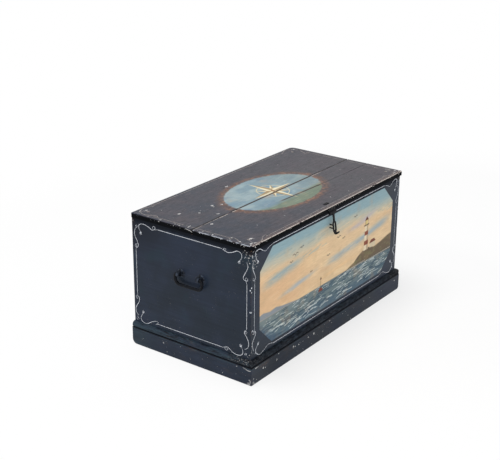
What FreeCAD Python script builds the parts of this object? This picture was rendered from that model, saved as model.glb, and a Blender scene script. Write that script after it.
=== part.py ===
"""Painted sea chest: dovetailed carcass, moulded plinth, flat two-board lid, iron hasp and bails.

Frame: X runs along the front from left to right, the front faces -Y, Z is up.
The origin lies on the floor under the middle of the carcass. All sizes are in millimetres.
"""
import FreeCAD, Part
import Sketcher
import os

doc = FreeCAD.newDocument("SeaChest")

# ---------------------------------------------------------------- driving dimensions
SIZES = {
    # carcass
    "BodyLength": 900,
    "BodyDepth": 475,
    "CarcassTop": 442.5,
    "WallThickness": 20,
    "BottomThickness": 14,
    "BottomGap": 0.5,
    "BottomBoards": 3,
    # through dovetails: tails on the long boards, pins on the end boards
    "TailCount": 6,
    "PinNarrow": 12,
    "PinWide": 20,
    "CarcassArris": 1.5,
    # plinth: lower board, quirk and quarter-round moulding
    "PlinthHeight": 79,
    "PlinthProjection": 15.5,
    "PlinthBoardHeight": 60,
    "QuirkHeight": 3,
    "QuirkDepth": 5,
    "MouldingProjection": 12.5,
    "MouldingRadius": 12.2,
    "PlinthArris": 3,
    "PlinthHeelRadius": 18,
    "WornCornerWidth": 8,
    "WornToeHeight": 17,
    # till
    "TillWidth": 115,
    "TillDepth": 115,
    "TillDrop": 17.5,
    "TillBoard": 10,
    "HousingDepth": 6,
    # lid
    "LidGap": 0.5,
    "LidThickness": 16,
    "LidSideOverhang": 5,
    "LidFrontOverhang": 4.5,
    "LidNearCorner": 12,
    "LidFarCorner": 20,
    "LidKeenCorner": 3.5,
    "LidArris": 2.5,
    "LidJointY": -15,
    "LidJointGap": 1,
    "LidJointBevel": 1,
    "BackBoardSetback": 2,
    "SplitLength": 540,
    "SplitStartY": -81,
    "SplitBendLength": 265,
    "SplitBendY": -93,
    "SplitEndY": -98,
    "SplitWidth": 2.2,
    "EndNotchDepth": 5,
    "EndNotchHalf": 2.8,
    "BattenInset": 215,
    "BattenWidth": 45,
    "BattenThickness": 18,
    "BattenLength": 400,
    "BattenChamfer": 9,
    # strap hinges
    "HingeInset": 135,
    "HingeAxisOut": 5,
    "HingeAxisDrop": 2,
    "KnuckleRadius": 4.5,
    "HingePinRadius": 2.25,
    "PinFit": 0.06,
    "LeafWidth": 32,
    "LeafThickness": 2.5,
    "LeafLength": 130,
    "StrapLength": 205,
    "LeafTipFlat": 0.5,
    "MiddleKnuckle": 11,
    "KnuckleGap": 0.4,
    "HingeClearance": 0.6,
    "PinHeadRadius": 3.4,
    "PinHeadLength": 1,
    # nails
    "NailRadius": 1.8,
    "NailHeadRadius": 4.2,
    "NailTopRadius": 1.6,
    "NailHeadHeight": 1.8,
    "NailLength": 13,
    "NailFit": 0.05,
    "NailsPerLeaf": 3,
    "NailMargin": 14,
    "LeafNailTop": 28,
    # hasp
    "HaspX": -16,
    "HaspKnuckleRadius": 4.2,
    "HaspPinRadius": 1.75,
    "HaspAxisDrop": 3,
    "HaspPlateWidth": 38,
    "HaspPlateThickness": 2.5,
    "HaspPlateTop": 17.3,
    "HaspMiddleKnuckle": 11.4,
    "HaspThickness": 3,
    "HaspNeck": 8,
    "HaspShoulderZ": 15,
    "HaspForkZ": 29,
    "HaspEyeWidth": 19,
    "HaspEyeZ": 35,
    "HaspSlotWidth": 7.6,
    "HaspSlotLength": 25.5,
    "HaspEyeEndZ": 62,
    "HaspTailWidth": 13,
    "HaspLength": 66,
    "CurlRadius": 4.5,
    "CurlAngle": 190,
    "HaspRestGap": 2.35,
    "HaspPinHeadRadius": 2.8,
    "HaspSlotFlat": 0.3,
    "SpikeRadius": 1.7,
    "SpikeHeadRadius": 3.6,
    "SpikeHeadHeight": 1.8,
    "ClenchSpread": 1.4,
    "ClenchHeight": 1,
    "SpikeSpread": 9,
    "SpikeZ": 11,
    "RoveX": -6,
    "RoveSetback": 28,
    "RoveLength": 22,
    "RoveWidth": 9,
    "RoveThickness": 1.6,
    "RoveSpread": 5,
    # staple
    "StapleDrop": 2.25,
    "StapleNose": 3.6,
    "StapleWire": 2,
    "StapleBend": 5.5,
    "StapleTail": 2.6,
    "StapleClench": 9,
    # bail handles
    "BailZ": 301,
    "BailForward": 5,
    "BailHalfWidth": 53.5,
    "BailDrop": 33.5,
    "BailRod": 5,
    "BailTopBend": 8,
    "BailLowBend": 18,
    "BailPinEnd": 2.5,
    "BailSideGap": 1,
    "EyeStandoff": 13,
    "EyeRadius": 8.5,
    "EyeThickness": 10,
    "ShankRadius": 4.5,
    "ShankFit": 0.05,
    "RoseRadius": 15,
    "RoseTopRadius": 11,
    "RoseThickness": 3,
    "NutSide": 18,
    "NutThickness": 3,
    "PeenRadius": 6,
    "PeenLength": 1.5,
    # how far a cutting tool runs past the face it cuts
    "Overrun": 2,
}

sheet = doc.addObject("Spreadsheet::Sheet", "Sizes")
for row, (alias, number) in enumerate(SIZES.items(), start=1):
    sheet.set(f"A{row}", alias)
    sheet.set(f"B{row}", str(number))
    sheet.setAlias(f"B{row}", alias)
doc.recompute()

nodes = {}


def cell(expression):
    """Turn plain names of sizes in an expression into references to the sheet."""
    out = ""
    word = ""
    for letter in expression + " ":
        if letter.isalnum():
            word += letter
            continue
        out += f"Sizes.{word}" if word in SIZES else word
        out += letter
        word = ""
    return out.strip()


def size(alias):
    """The number that a cell of the sheet holds."""
    return float(sheet.get(alias))


def bind(thing, **bindings):
    """Bind properties to expressions; a double underscore stands for a dot."""
    for name, expression in bindings.items():
        thing.setExpression(name.replace("__", "."), cell(expression))


def keep(thing, label):
    """Name an object as a node that is exported."""
    thing.Label = label
    nodes[label] = thing
    return thing


def place(thing, spot, axis=None, turn=None):
    """Bind where an object stands, and how far it is turned about an axis."""
    if axis is not None:
        first = turn if isinstance(turn, (int, float)) else 1
        thing.Placement = FreeCAD.Placement(
            FreeCAD.Vector(), FreeCAD.Rotation(FreeCAD.Vector(*axis), first)
        )
    bind(thing, Placement__Base__x=spot[0], Placement__Base__y=spot[1], Placement__Base__z=spot[2])
    if isinstance(turn, str):
        bind(thing, Placement__Rotation__Angle=turn)


# ---------------------------------------------------------------- Part Design helpers
def new_body(label):
    """A new body that becomes the node of that label."""
    return keep(doc.addObject("PartDesign::Body", label + "_body"), label)


def origin_plane(body, role):
    """One of the body's own origin planes or axes."""
    return next(o for o in body.Origin.OriginFeatures if o.Role == role)


def new_sketch(body, plane, offset):
    """A sketch on an origin plane, moved along the plane's normal by an expression."""
    sketch = body.newObject("Sketcher::SketchObject", "Sketch")
    sketch.AttachmentSupport = [(origin_plane(body, plane + "_Plane"), "")]
    sketch.MapMode = "FlatFace"
    bind(sketch, AttachmentOffset__Base__z=offset)
    return sketch


def pin_vertex(sketch, line, across, up):
    """Hold a line's start at a place given by two expressions."""
    for kind, expression in (("DistanceX", across), ("DistanceY", up)):
        number = sketch.addConstraint(Sketcher.Constraint(kind, -1, 1, line, 1, 1.0))
        sketch.setExpression(f"Constraints[{number}]", cell(expression))


def outline(body, plane, corners, offset="0"):
    """A closed outline of straight lines through corners given as pairs of expressions."""
    sketch = new_sketch(body, plane, offset)
    add_loop(sketch, corners)
    return sketch


def add_loop(sketch, corners):
    """Add one closed loop of lines to a sketch."""
    spots = [(number_of(a), number_of(b)) for a, b in corners]
    first = sketch.GeometryCount
    count = len(spots)
    for i, (across, up) in enumerate(spots):
        after = spots[(i + 1) % count]
        start = FreeCAD.Vector(across, up, 0)
        sketch.addGeometry(Part.LineSegment(start, FreeCAD.Vector(*after, 0)), False)
    for i in range(count):
        follower = first + (i + 1) % count
        sketch.addConstraint(Sketcher.Constraint("Coincident", first + i, 2, follower, 1))
    for i, (across, up) in enumerate(corners):
        pin_vertex(sketch, first + i, across, up)


def rectangle(body, plane, left, low, right, high, offset="0"):
    """A rectangle between two corners."""
    corners = [(left, low), (right, low), (right, high), (left, high)]
    return outline(body, plane, corners, offset)


def circles(body, plane, centres, radius, offset="0"):
    """A sketch of equal circles."""
    sketch = new_sketch(body, plane, offset)
    for across, up in centres:
        middle = FreeCAD.Vector(number_of(across), number_of(up), 0)
        ring = sketch.addGeometry(
            Part.Circle(middle, FreeCAD.Vector(0, 0, 1), number_of(radius)), False
        )
        number = sketch.addConstraint(Sketcher.Constraint("Radius", ring, 1.0))
        sketch.setExpression(f"Constraints[{number}]", cell(radius))
        for kind, expression in (("DistanceX", across), ("DistanceY", up)):
            number = sketch.addConstraint(Sketcher.Constraint(kind, -1, 1, ring, 3, 1.0))
            sketch.setExpression(f"Constraints[{number}]", cell(expression))
    return sketch


def number_of(expression):
    """What an expression of sizes comes to now."""
    return float(doc.Sizes.evalExpression(cell(expression).replace("Sizes.", "")))


def pad(body, sketch, length, back=False, middle=False):
    """Pad a sketch along its normal, against it, or both ways from it."""
    feature = body.newObject("PartDesign::Pad", "Pad")
    feature.Profile = sketch
    feature.Reversed = back
    feature.SideType = "Symmetric" if middle else "One side"
    bind(feature, Length=length)
    doc.recompute()
    return feature


def pocket(body, sketch, length=None, back=False):
    """Cut a sketch against its normal (or along it), to a depth or through all."""
    before = body.Shape.Volume
    feature = body.newObject("PartDesign::Pocket", "Pocket")
    feature.Profile = sketch
    feature.Reversed = back
    if length is None:
        feature.Type = "ThroughAll"
    else:
        bind(feature, Length=length)
    doc.recompute()
    if body.Shape.Volume > before - 0.01:
        raise RuntimeError(f"{body.Label}: {feature.Name} cuts nothing")
    return feature


def repeat(body, feature, axis, length, copies, mirror):
    """Repeat a cut along an axis, and mirror the row across an origin plane."""
    both = body.newObject("PartDesign::MultiTransform", "MultiTransform")
    both.Originals = [feature]
    row = body.newObject("PartDesign::LinearPattern", "Row")
    row.Direction = (origin_plane(body, axis + "_Axis"), [""])
    bind(row, Length=length, Occurrences=copies)
    flip = body.newObject("PartDesign::Mirrored", "Flip")
    flip.MirrorPlane = (origin_plane(body, mirror + "_Plane"), [""])
    both.Transformations = [row, flip]
    body.Tip = both
    doc.recompute()
    return both


def mirrored(body, feature, plane):
    """Mirror one cut or pad across an origin plane."""
    flip = body.newObject("PartDesign::Mirrored", "Mirrored")
    flip.Originals = [feature]
    flip.MirrorPlane = (origin_plane(body, plane + "_Plane"), [""])
    body.Tip = flip
    doc.recompute()
    return flip


def soften(body, chosen, radius, kind="Fillet"):
    """Round or bevel the edges of the body that a test chooses by their two ends."""
    tip = body.Tip
    names = []
    for number, edge in enumerate(tip.Shape.Edges, start=1):
        if len(edge.Vertexes) == 2 and chosen(edge.Vertexes[0].Point, edge.Vertexes[1].Point):
            names.append(f"Edge{number}")
    if not names:
        raise RuntimeError(f"{body.Label}: no edge to soften")
    feature = body.newObject("PartDesign::" + kind, kind)
    feature.Base = (tip, names)
    bind(feature, **{"Radius" if kind == "Fillet" else "Size": radius})
    doc.recompute()
    if not feature.isValid():
        raise RuntimeError(f"{body.Label}: {feature.Name} failed")
    return feature


def near(a, b):
    """Whether two lengths are the same."""
    return abs(a - b) < 1e-4


# ---------------------------------------------------------------- Part helpers
def block(name, low, high):
    """A box between two corners given as expressions."""
    made = doc.addObject("Part::Box", name)
    bind(
        made,
        Length=f"({high[0]}) - ({low[0]})",
        Width=f"({high[1]}) - ({low[1]})",
        Height=f"({high[2]}) - ({low[2]})",
    )
    place(made, low)
    return made


TURNS = {"x": ((0, 1, 0), 90), "y": ((1, 0, 0), -90), "z": ((0, 0, 1), 0)}


def rod(name, start, along, radius, length):
    """A cylinder that starts at a place and runs along +X, +Y or +Z."""
    made = doc.addObject("Part::Cylinder", name)
    bind(made, Radius=radius, Height=length)
    axis, turn = TURNS[along]
    place(made, start, axis, turn)
    return made


def fused(name, *things):
    """One solid made of overlapping solids."""
    made = doc.addObject("Part::MultiFuse", name)
    made.Shapes = list(things)
    made.Refine = True
    return made


def cut(name, base, *tools):
    """A solid less some others."""
    tool = tools[0] if len(tools) == 1 else group(name + "_tools", *tools)
    made = doc.addObject("Part::Cut", name)
    made.Base = base
    made.Tool = tool
    made.Refine = True
    return made


def group(name, *things):
    """Several solids kept apart in one object."""
    made = doc.addObject("Part::Compound", name)
    made.Links = list(things)
    return made


# ---------------------------------------------------------------- carcass
BOARD_HEIGHT = "(CarcassTop - BottomThickness)"
PITCH = f"({BOARD_HEIGHT} / TailCount)"
HINGE_X = "(BodyLength / 2 - HingeInset)"
TILL_TOP = "(CarcassTop - TillDrop)"
TILL_FLOOR = f"({TILL_TOP} - TillDepth)"
HINGE_NOTCH_HALF = "(LeafWidth / 2 + HingeClearance)"
STRAP_UNDERSIDE = "(CarcassTop + LidGap - LeafThickness)"
HINGE_AXIS_Z = "(CarcassTop + LidGap - HingeAxisDrop)"


def leaf_nail_heights():
    """Heights of a back leaf's nails, from the lowest up."""
    low = f"{HINGE_AXIS_Z} - LeafLength + NailMargin"
    pitch = "(LeafLength - NailMargin - LeafNailTop) / (NailsPerLeaf - 1)"
    return [f"{low} + {i} * {pitch}" for i in range(int(size("NailsPerLeaf")))]


def strap_nail_places():
    """Distances of a strap's nails in front of the back face, from the tip back."""
    tip = "BodyDepth / 2 - StrapLength + NailMargin"
    pitch = "(StrapLength - 2 * NailMargin - WallThickness) / (NailsPerLeaf - 1)"
    return [f"{tip} + {i} * {pitch}" for i in range(int(size("NailsPerLeaf")))]


def ease_arrises(body, corners):
    """Take a narrow bevel off outer upright arrises: where each is, and which ways lead inward."""
    sketch = new_sketch(body, "XY", "0")
    for across, up, right, rise in corners:
        add_loop(sketch, [
            (across, up),
            (f"{across} {right} CarcassArris", up),
            (across, f"{up} {rise} CarcassArris"),
        ])
    pocket(body, sketch, back=True)


def long_board(label, outer_y, is_front):
    """Front or back board: a plain board with tails cut at both ends."""
    body = new_body(label)
    board = rectangle(
        body, "XZ", "-BodyLength / 2", "BottomThickness", "BodyLength / 2", "CarcassTop"
    )
    pad(body, board, "WallThickness")
    socket = outline(
        body,
        "XZ",
        [
            ("-BodyLength / 2", "BottomThickness - PinNarrow / 2"),
            ("-BodyLength / 2 + WallThickness", "BottomThickness - PinWide / 2"),
            ("-BodyLength / 2 + WallThickness", "BottomThickness + PinWide / 2"),
            ("-BodyLength / 2", "BottomThickness + PinNarrow / 2"),
        ],
    )
    first = pocket(body, socket, back=True)
    repeat(body, first, "Z", BOARD_HEIGHT, "TailCount + 1", "YZ")
    # housings for the till's front and bottom, on the inner face
    face = "0" if is_front else "WallThickness"
    inner = "-BodyLength / 2 + WallThickness"
    wall = rectangle(
        body, "XZ", f"{inner} + TillWidth", TILL_FLOOR,
        f"{inner} + TillWidth + TillBoard", TILL_TOP, face,
    )
    pocket(body, wall, "HousingDepth", back=is_front)
    floor = rectangle(
        body, "XZ", inner, TILL_FLOOR,
        f"{inner} + TillWidth", f"{TILL_FLOOR} + TillBoard", face,
    )
    pocket(body, floor, "HousingDepth", back=is_front)
    if is_front:
        legs = [("HaspX", f"{STAPLE_Z} - StapleBend"), ("HaspX", f"{STAPLE_Z} + StapleBend")]
        pocket(body, circles(body, "XZ", legs, "StapleWire + NailFit"), back=True)
    else:
        notch = rectangle(
            body, "XZ", f"{HINGE_X} - {HINGE_NOTCH_HALF}", f"{STRAP_UNDERSIDE} - LidGap",
            f"{HINGE_X} + {HINGE_NOTCH_HALF}", "CarcassTop",
        )
        mirrored(body, pocket(body, notch, back=True), "YZ")
        holes = circles(
            body, "XZ", [(HINGE_X, height) for height in leaf_nail_heights()],
            "NailRadius + NailFit",
        )
        mirrored(body, pocket(body, holes, "NailLength", back=True), "YZ")
    outside, rise = ("-WallThickness", "+") if is_front else ("0", "-")
    ease_arrises(body, [
        ("-BodyLength / 2", outside, "+", rise), ("BodyLength / 2", outside, "-", rise)
    ])
    place(body, ("0", outer_y, "0"))


def end_board(label, left_x, outer, inner):
    """End board: pins between the tails, and holes for the two eyes of the handle."""
    body = new_body(label)
    board = rectangle(
        body, "YZ", "-BodyDepth / 2", "BottomThickness", "BodyDepth / 2", "CarcassTop"
    )
    pad(body, board, "WallThickness")
    narrow = f"({PITCH} - PinWide) / 2"
    wide = f"({PITCH} - PinNarrow) / 2"
    middle = f"BottomThickness + {PITCH} / 2"
    tail = outline(
        body,
        "XZ",
        [
            (outer, f"{middle} - {wide}"),
            (inner, f"{middle} - {narrow}"),
            (inner, f"{middle} + {narrow}"),
            (outer, f"{middle} + {wide}"),
        ],
        "BodyDepth / 2",
    )
    first = pocket(body, tail, "WallThickness")
    repeat(body, first, "Z", f"{BOARD_HEIGHT} - {PITCH}", "TailCount", "XZ")
    places = [(f"-BailForward - {EYE_Y}", "BailZ"), (f"-BailForward + {EYE_Y}", "BailZ")]
    pocket(body, circles(body, "YZ", places, "ShankRadius + ShankFit"), back=True)
    right = "+" if outer == "0" else "-"
    ease_arrises(body, [
        (outer, "-BodyDepth / 2", right, "+"), (outer, "BodyDepth / 2", right, "-")
    ])
    place(body, (left_x, "0", "0"))


def bottom_boards():
    """Boards nailed up under the carcass, side by side from front to back."""
    count = int(size("BottomBoards"))
    width = f"(BodyDepth - {count - 1} * BottomGap) / {count}"
    for i, where in enumerate(("front", "middle", "back")[:count]):
        start = f"-BodyDepth / 2 + {i} * (({width}) + BottomGap)"
        board = block(
            f"bottom_{where}_box",
            ("-BodyLength / 2", start, "0"),
            ("BodyLength / 2", f"{start} + {width}", "BottomThickness"),
        )
        keep(board, f"bottom_board_{where}")


# ---------------------------------------------------------------- plinth
PLINTH_HALF = "(BodyLength / 2 + PlinthProjection)"
PLINTH_FRONT = "(-BodyDepth / 2 - PlinthProjection)"


def plinth_profile(face):
    """The plinth's section: projection from the carcass face, then height above the floor."""
    quirk_top = "PlinthBoardHeight + QuirkHeight"
    spots = [
        ("0", "0"),
        ("PlinthProjection", "0"),
        ("PlinthProjection", "PlinthBoardHeight"),
        ("(PlinthProjection - QuirkDepth)", "PlinthBoardHeight"),
        ("(PlinthProjection - QuirkDepth)", quirk_top),
        ("MouldingProjection", quirk_top),
        ("MouldingProjection", "PlinthHeight"),
        ("0", "PlinthHeight"),
    ]
    return [(f"{face} - {out}", height) for out, height in spots]


def shape_moulding(body, level):
    """Turn the top of the plinth into a quarter round and ease the board's edges."""
    out = size("MouldingProjection")
    high = size("PlinthHeight")
    soften(body, lambda a, b: all(near(level(q), out) and near(q.z, high) for q in (a, b)),
           "MouldingRadius")
    board_top = size("PlinthBoardHeight")
    foot = size("PlinthProjection")

    def eased(a, b):
        return all(near(level(q), foot) and (near(q.z, board_top) or near(q.z, 0)) for q in (a, b)) \
            and near(a.z, b.z)

    soften(body, eased, "PlinthArris")


def plinth_front():
    """Front length of the plinth, mitred at both ends, with its right-hand corner worn away."""
    body = new_body("plinth_front")
    pad(body, outline(body, "YZ", plinth_profile("-BodyDepth / 2")),
        "BodyLength + 2 * PlinthProjection", middle=True)
    half_depth = size("BodyDepth") / 2
    shape_moulding(body, lambda q: -q.y - half_depth)
    mitre = outline(
        body, "XY",
        [
            ("BodyLength / 2", "-BodyDepth / 2"),
            (PLINTH_HALF, PLINTH_FRONT),
            (PLINTH_HALF, "-BodyDepth / 2"),
        ],
    )
    mirrored(body, pocket(body, mitre, back=True), "YZ")
    tip = outline(
        body, "XY",
        [
            (f"{PLINTH_HALF} - WornCornerWidth", PLINTH_FRONT),
            (PLINTH_HALF, PLINTH_FRONT),
            (f"{PLINTH_HALF} - WornCornerWidth / 2", f"{PLINTH_FRONT} + WornCornerWidth / 2"),
        ],
    )
    pocket(body, tip, back=True)
    toe = outline(
        body, "XZ",
        [("BodyLength / 2", "0"), (PLINTH_HALF, "0"), (PLINTH_HALF, "WornToeHeight")],
        "BodyDepth / 2",
    )
    pocket(body, toe, back=True)


def plinth_end(label, side):
    """End length of the plinth, mitred at the front and square at the back; the right is worn."""
    body = new_body(label)
    corners = plinth_profile("-BodyLength / 2")
    if side > 0:
        corners = [(f"-({across})", up) for across, up in corners]
    pad(body, outline(body, "XZ", corners, "-BodyDepth / 2"), "BodyDepth + PlinthProjection")
    back = size("BodyDepth") / 2
    soften(body, lambda a, b: all(near(q.y, back) and near(q.z, 0) for q in (a, b)),
           "PlinthHeelRadius")
    half_length = size("BodyLength") / 2
    shape_moulding(body, lambda q: abs(q.x) - half_length)
    sign = "" if side > 0 else "-"
    mitre = outline(
        body, "XY",
        [
            (f"{sign}BodyLength / 2", "-BodyDepth / 2"),
            (f"{sign}{PLINTH_HALF}", PLINTH_FRONT),
            (f"{sign}BodyLength / 2", PLINTH_FRONT),
        ],
    )
    pocket(body, mitre, back=True)
    if side > 0:
        tip = outline(
            body, "XY",
            [
                (PLINTH_HALF, PLINTH_FRONT),
                (PLINTH_HALF, f"{PLINTH_FRONT} + WornCornerWidth"),
                (f"{PLINTH_HALF} - WornCornerWidth / 2", f"{PLINTH_FRONT} + WornCornerWidth / 2"),
            ],
        )
        pocket(body, tip, back=True)
        toe = outline(
            body, "YZ",
            [(PLINTH_FRONT, "0"), ("-BodyDepth / 2", "0"), (PLINTH_FRONT, "WornToeHeight")],
            "BodyLength / 2",
        )
        pocket(body, toe, back=True)


# ---------------------------------------------------------------- till
def till():
    """Small open till at the left end, housed in the front and back boards."""
    inner = "-BodyLength / 2 + WallThickness"
    half = "(BodyDepth / 2 - WallThickness + HousingDepth)"
    wall = block(
        "till_wall",
        (f"{inner} + TillWidth", f"-{half}", TILL_FLOOR),
        (f"{inner} + TillWidth + TillBoard", half, TILL_TOP),
    )
    keep(wall, "till_front")
    floor = block(
        "till_floor",
        (inner, f"-{half}", TILL_FLOOR),
        (f"{inner} + TillWidth", half, f"{TILL_FLOOR} + TillBoard"),
    )
    keep(floor, "till_bottom")


# ---------------------------------------------------------------- lid
LID_BOTTOM = "(CarcassTop + LidGap)"
LID_HALF = "(BodyLength / 2 + LidSideOverhang)"
LID_FRONT = "(-BodyDepth / 2 - LidFrontOverhang)"


def lid_arrises(joint_y):
    """Choose a lid board's top edges, apart from the one at the joint."""
    top = size("CarcassTop") + size("LidGap") + size("LidThickness")

    def chosen(a, b):
        at_joint = near(a.y, joint_y) and near(b.y, joint_y)
        return near(a.z, top) and near(b.z, top) and not at_joint

    return chosen


def lid_board(label, left, front, back, outer, joint, radii):
    """One board of the lid: its four sides, its outer edge, its joint and its corners' radii."""
    body = new_body(label)
    pad(body, rectangle(body, "XY", left, front, LID_HALF, back, LID_BOTTOM), "LidThickness")
    outer_y = number_of(outer)
    for end, radius in zip((left, LID_HALF), radii):
        end_x = number_of(end)
        soften(body, lambda a, b: all(near(q.x, end_x) and near(q.y, outer_y) for q in (a, b)),
               radius)
    joint_y = number_of(joint)
    soften(body, lid_arrises(joint_y), "LidArris")
    top = number_of(f"{LID_BOTTOM} + LidThickness")
    soften(body, lambda a, b: all(near(q.y, joint_y) and near(q.z, top) for q in (a, b)),
           "LidJointBevel", "Chamfer")
    inward = "-" if joint_y > outer_y else "+"
    notches = new_sketch(body, "XY", LID_BOTTOM)
    for end, sign in ((left, "+"), (LID_HALF, "-")):
        add_loop(notches, [
            (end, joint),
            (f"{end} {sign} EndNotchDepth", joint),
            (end, f"{joint} {inward} EndNotchHalf"),
        ])
    pocket(body, notches, back=True)
    return body


def lid_boards():
    """Front board with its split, and back board with the nail holes of the straps."""
    front_joint = "LidJointY - LidJointGap / 2"
    front = lid_board(
        "lid_board_front", f"-{LID_HALF}", LID_FRONT, front_joint, LID_FRONT, front_joint,
        ("LidNearCorner", "LidKeenCorner"),
    )
    bend_x = f"{LID_HALF} - SplitBendLength"
    notch_x = f"{LID_HALF} - EndNotchDepth"
    split = outline(
        front, "XY",
        [
            (f"{LID_HALF} - SplitLength", "SplitStartY"),
            (bend_x, "SplitBendY - SplitWidth / 4"),
            (notch_x, "SplitEndY - SplitWidth / 2"),
            (LID_HALF, "SplitEndY - EndNotchHalf"),
            (LID_HALF, "SplitEndY + EndNotchHalf"),
            (notch_x, "SplitEndY + SplitWidth / 2"),
            (bend_x, "SplitBendY + SplitWidth / 4"),
        ],
        LID_BOTTOM,
    )
    pocket(front, split, back=True)
    bored(front, "lid_board_front")

    back_joint = "LidJointY + LidJointGap / 2"
    back = lid_board(
        "lid_board_back", f"-{LID_HALF} + BackBoardSetback", back_joint, "BodyDepth / 2",
        "BodyDepth / 2", back_joint, ("LidKeenCorner", "LidFarCorner"),
    )
    spots = [(f"{s}{HINGE_X}", y) for s in ("-", "") for y in strap_nail_places()]
    holes = circles(back, "XY", spots, "NailRadius + NailFit", LID_BOTTOM)
    pocket(back, holes, "NailLength", back=True)


def battens():
    """Two battens under the lid that hold its boards together, with bevelled ends."""
    for label, sign in (("batten_left", "-"), ("batten_right", "")):
        body = new_body(label)
        sketch = rectangle(
            body, "XY", "-BattenWidth / 2", "-BattenLength / 2", "BattenWidth / 2",
            "BattenLength / 2", f"{LID_BOTTOM}",
        )
        pad(body, sketch, "BattenThickness", back=True)
        low = number_of(f"{LID_BOTTOM} - BattenThickness")
        soften(body, lambda a, b: near(a.z, low) and near(b.z, low) and near(a.y, b.y),
               "BattenChamfer", "Chamfer")
        place(body, (f"{sign}(BodyLength / 2 - BattenInset)", "0", "0"))


# ---------------------------------------------------------------- strap hinges
def hinge_leaf(label, sign):
    """Back leaf on the outside of the back board, with the two outer knuckles."""
    body = new_body(label)
    plate = rectangle(body, "XZ", "-LeafWidth / 2", "-LeafLength", "LeafWidth / 2", "0")
    pad(body, plate, "LeafThickness", back=True)
    foot = -size("LeafLength")
    soften(body, lambda a, b: near(a.z, foot) and near(b.z, foot) and near(a.x, b.x),
           "LeafWidth / 2 - LeafTipFlat")
    barrel = circles(body, "YZ", [("HingeAxisOut", "0")], "KnuckleRadius")
    pad(body, barrel, "LeafWidth", middle=True)
    reach = "(KnuckleRadius + HingeClearance)"
    half = "(MiddleKnuckle / 2 + KnuckleGap)"
    pocket(body, rectangle(body, "XZ", f"-{half}", f"-{reach}", half, reach,
                           "-HingeAxisOut - KnuckleRadius"), back=True)
    bore_barrel(body)
    heights = [f"({z}) - {HINGE_AXIS_Z}" for z in leaf_nail_heights()]
    holes = circles(body, "XZ", [("0", z) for z in heights], "NailRadius + NailFit")
    pocket(body, holes, back=False)
    place(body, (f"{sign}{HINGE_X}", "BodyDepth / 2", HINGE_AXIS_Z))


def bore_barrel(body):
    """Bore a hinge barrel for its pin, from one end to the other."""
    bore = circles(body, "YZ", [("HingeAxisOut", "0")], "HingePinRadius + PinFit",
                   "LeafWidth / 2")
    pocket(body, bore)


def hinge_strap(label, sign):
    """Long strap under the lid, with the middle knuckle."""
    body = new_body(label)
    half = "(MiddleKnuckle / 2)"
    underside = "HingeAxisDrop - LeafThickness"
    strap = outline(
        body, "XY",
        [
            ("-LeafWidth / 2", "-StrapLength"),
            ("LeafWidth / 2", "-StrapLength"),
            ("LeafWidth / 2", "-HingeClearance"),
            (half, "-HingeClearance"),
            (half, "HingeAxisOut"),
            (f"-{half}", "HingeAxisOut"),
            (f"-{half}", "-HingeClearance"),
            ("-LeafWidth / 2", "-HingeClearance"),
        ],
        underside,
    )
    pad(body, strap, "LeafThickness")
    tip = -size("StrapLength")
    soften(body, lambda a, b: near(a.y, tip) and near(b.y, tip) and near(a.x, b.x),
           "LeafWidth / 2 - LeafTipFlat")
    knuckle = circles(body, "YZ", [("HingeAxisOut", "0")], "KnuckleRadius")
    pad(body, knuckle, "MiddleKnuckle", middle=True)
    bore_barrel(body)
    spots = [("0", f"({y}) - BodyDepth / 2") for y in strap_nail_places()]
    pocket(body, circles(body, "XY", spots, "NailRadius + NailFit", "HingeAxisDrop"))
    place(body, (f"{sign}{HINGE_X}", "BodyDepth / 2", HINGE_AXIS_Z))


def hinge_pin(label, sign):
    """Riveted pin of a hinge."""
    long_axis = ("BodyDepth / 2 + HingeAxisOut", HINGE_AXIS_Z)
    half = "(LeafWidth / 2 + KnuckleGap / 2)"
    middle = f"{sign}{HINGE_X}"
    shaft = rod(label + "_shaft", (f"{middle} - {half}", *long_axis), "x", "HingePinRadius",
                f"2 * {half}")
    left = rod(label + "_head_a", (f"{middle} - {half} - PinHeadLength", *long_axis), "x",
               "PinHeadRadius", "PinHeadLength")
    right = rod(label + "_head_b", (f"{middle} + {half}", *long_axis), "x",
                "PinHeadRadius", "PinHeadLength")
    keep(fused(label + "_solid", shaft, left, right), label)


def nail(name, spot, axis, turn):
    """Clout nail whose head sits on a face; it runs along its own -Z into the wood."""
    shank = doc.addObject("Part::Cylinder", name + "_shank")
    bind(shank, Radius="NailRadius", Height="NailLength")
    place(shank, ("0", "0", "-NailLength"))
    head = doc.addObject("Part::Cone", name + "_head")
    bind(head, Radius1="NailHeadRadius", Radius2="NailTopRadius", Height="NailHeadHeight")
    made = fused(name, shank, head)
    place(made, spot, axis, turn)
    return made


def hinge_nails():
    """Nails of both back leaves, and nails of both straps."""
    outside = "BodyDepth / 2 + LeafThickness"
    back = []
    under = []
    for side, sign in (("left", "-"), ("right", "")):
        for i, height in enumerate(leaf_nail_heights()):
            spot = (f"{sign}{HINGE_X}", outside, height)
            back.append(nail(f"back_nail_{side}_{i}", spot, (1, 0, 0), -90))
        for i, place_y in enumerate(strap_nail_places()):
            spot = (f"{sign}{HINGE_X}", place_y, STRAP_UNDERSIDE)
            under.append(nail(f"strap_nail_{side}_{i}", spot, (1, 0, 0), 180))
    keep(group("back_nails", *back), "hinge_nails_back")
    keep(group("strap_nails", *under), "hinge_nails_lid")


# ---------------------------------------------------------------- hasp and staple
HASP_Y = f"({LID_FRONT} - HaspKnuckleRadius)"
HASP_Z = f"({LID_BOTTOM} - HaspAxisDrop)"
STAPLE_Z = f"({HASP_Z} - HaspEyeZ - HaspSlotLength / 2 - StapleDrop)"
STAPLE_REACH = "(LidFrontOverhang + 2 * HaspKnuckleRadius + StapleNose)"
HASP_TILT = "asin((HaspThickness + StapleNose + HaspRestGap) / (HaspEyeZ + HaspSlotLength))"


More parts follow.
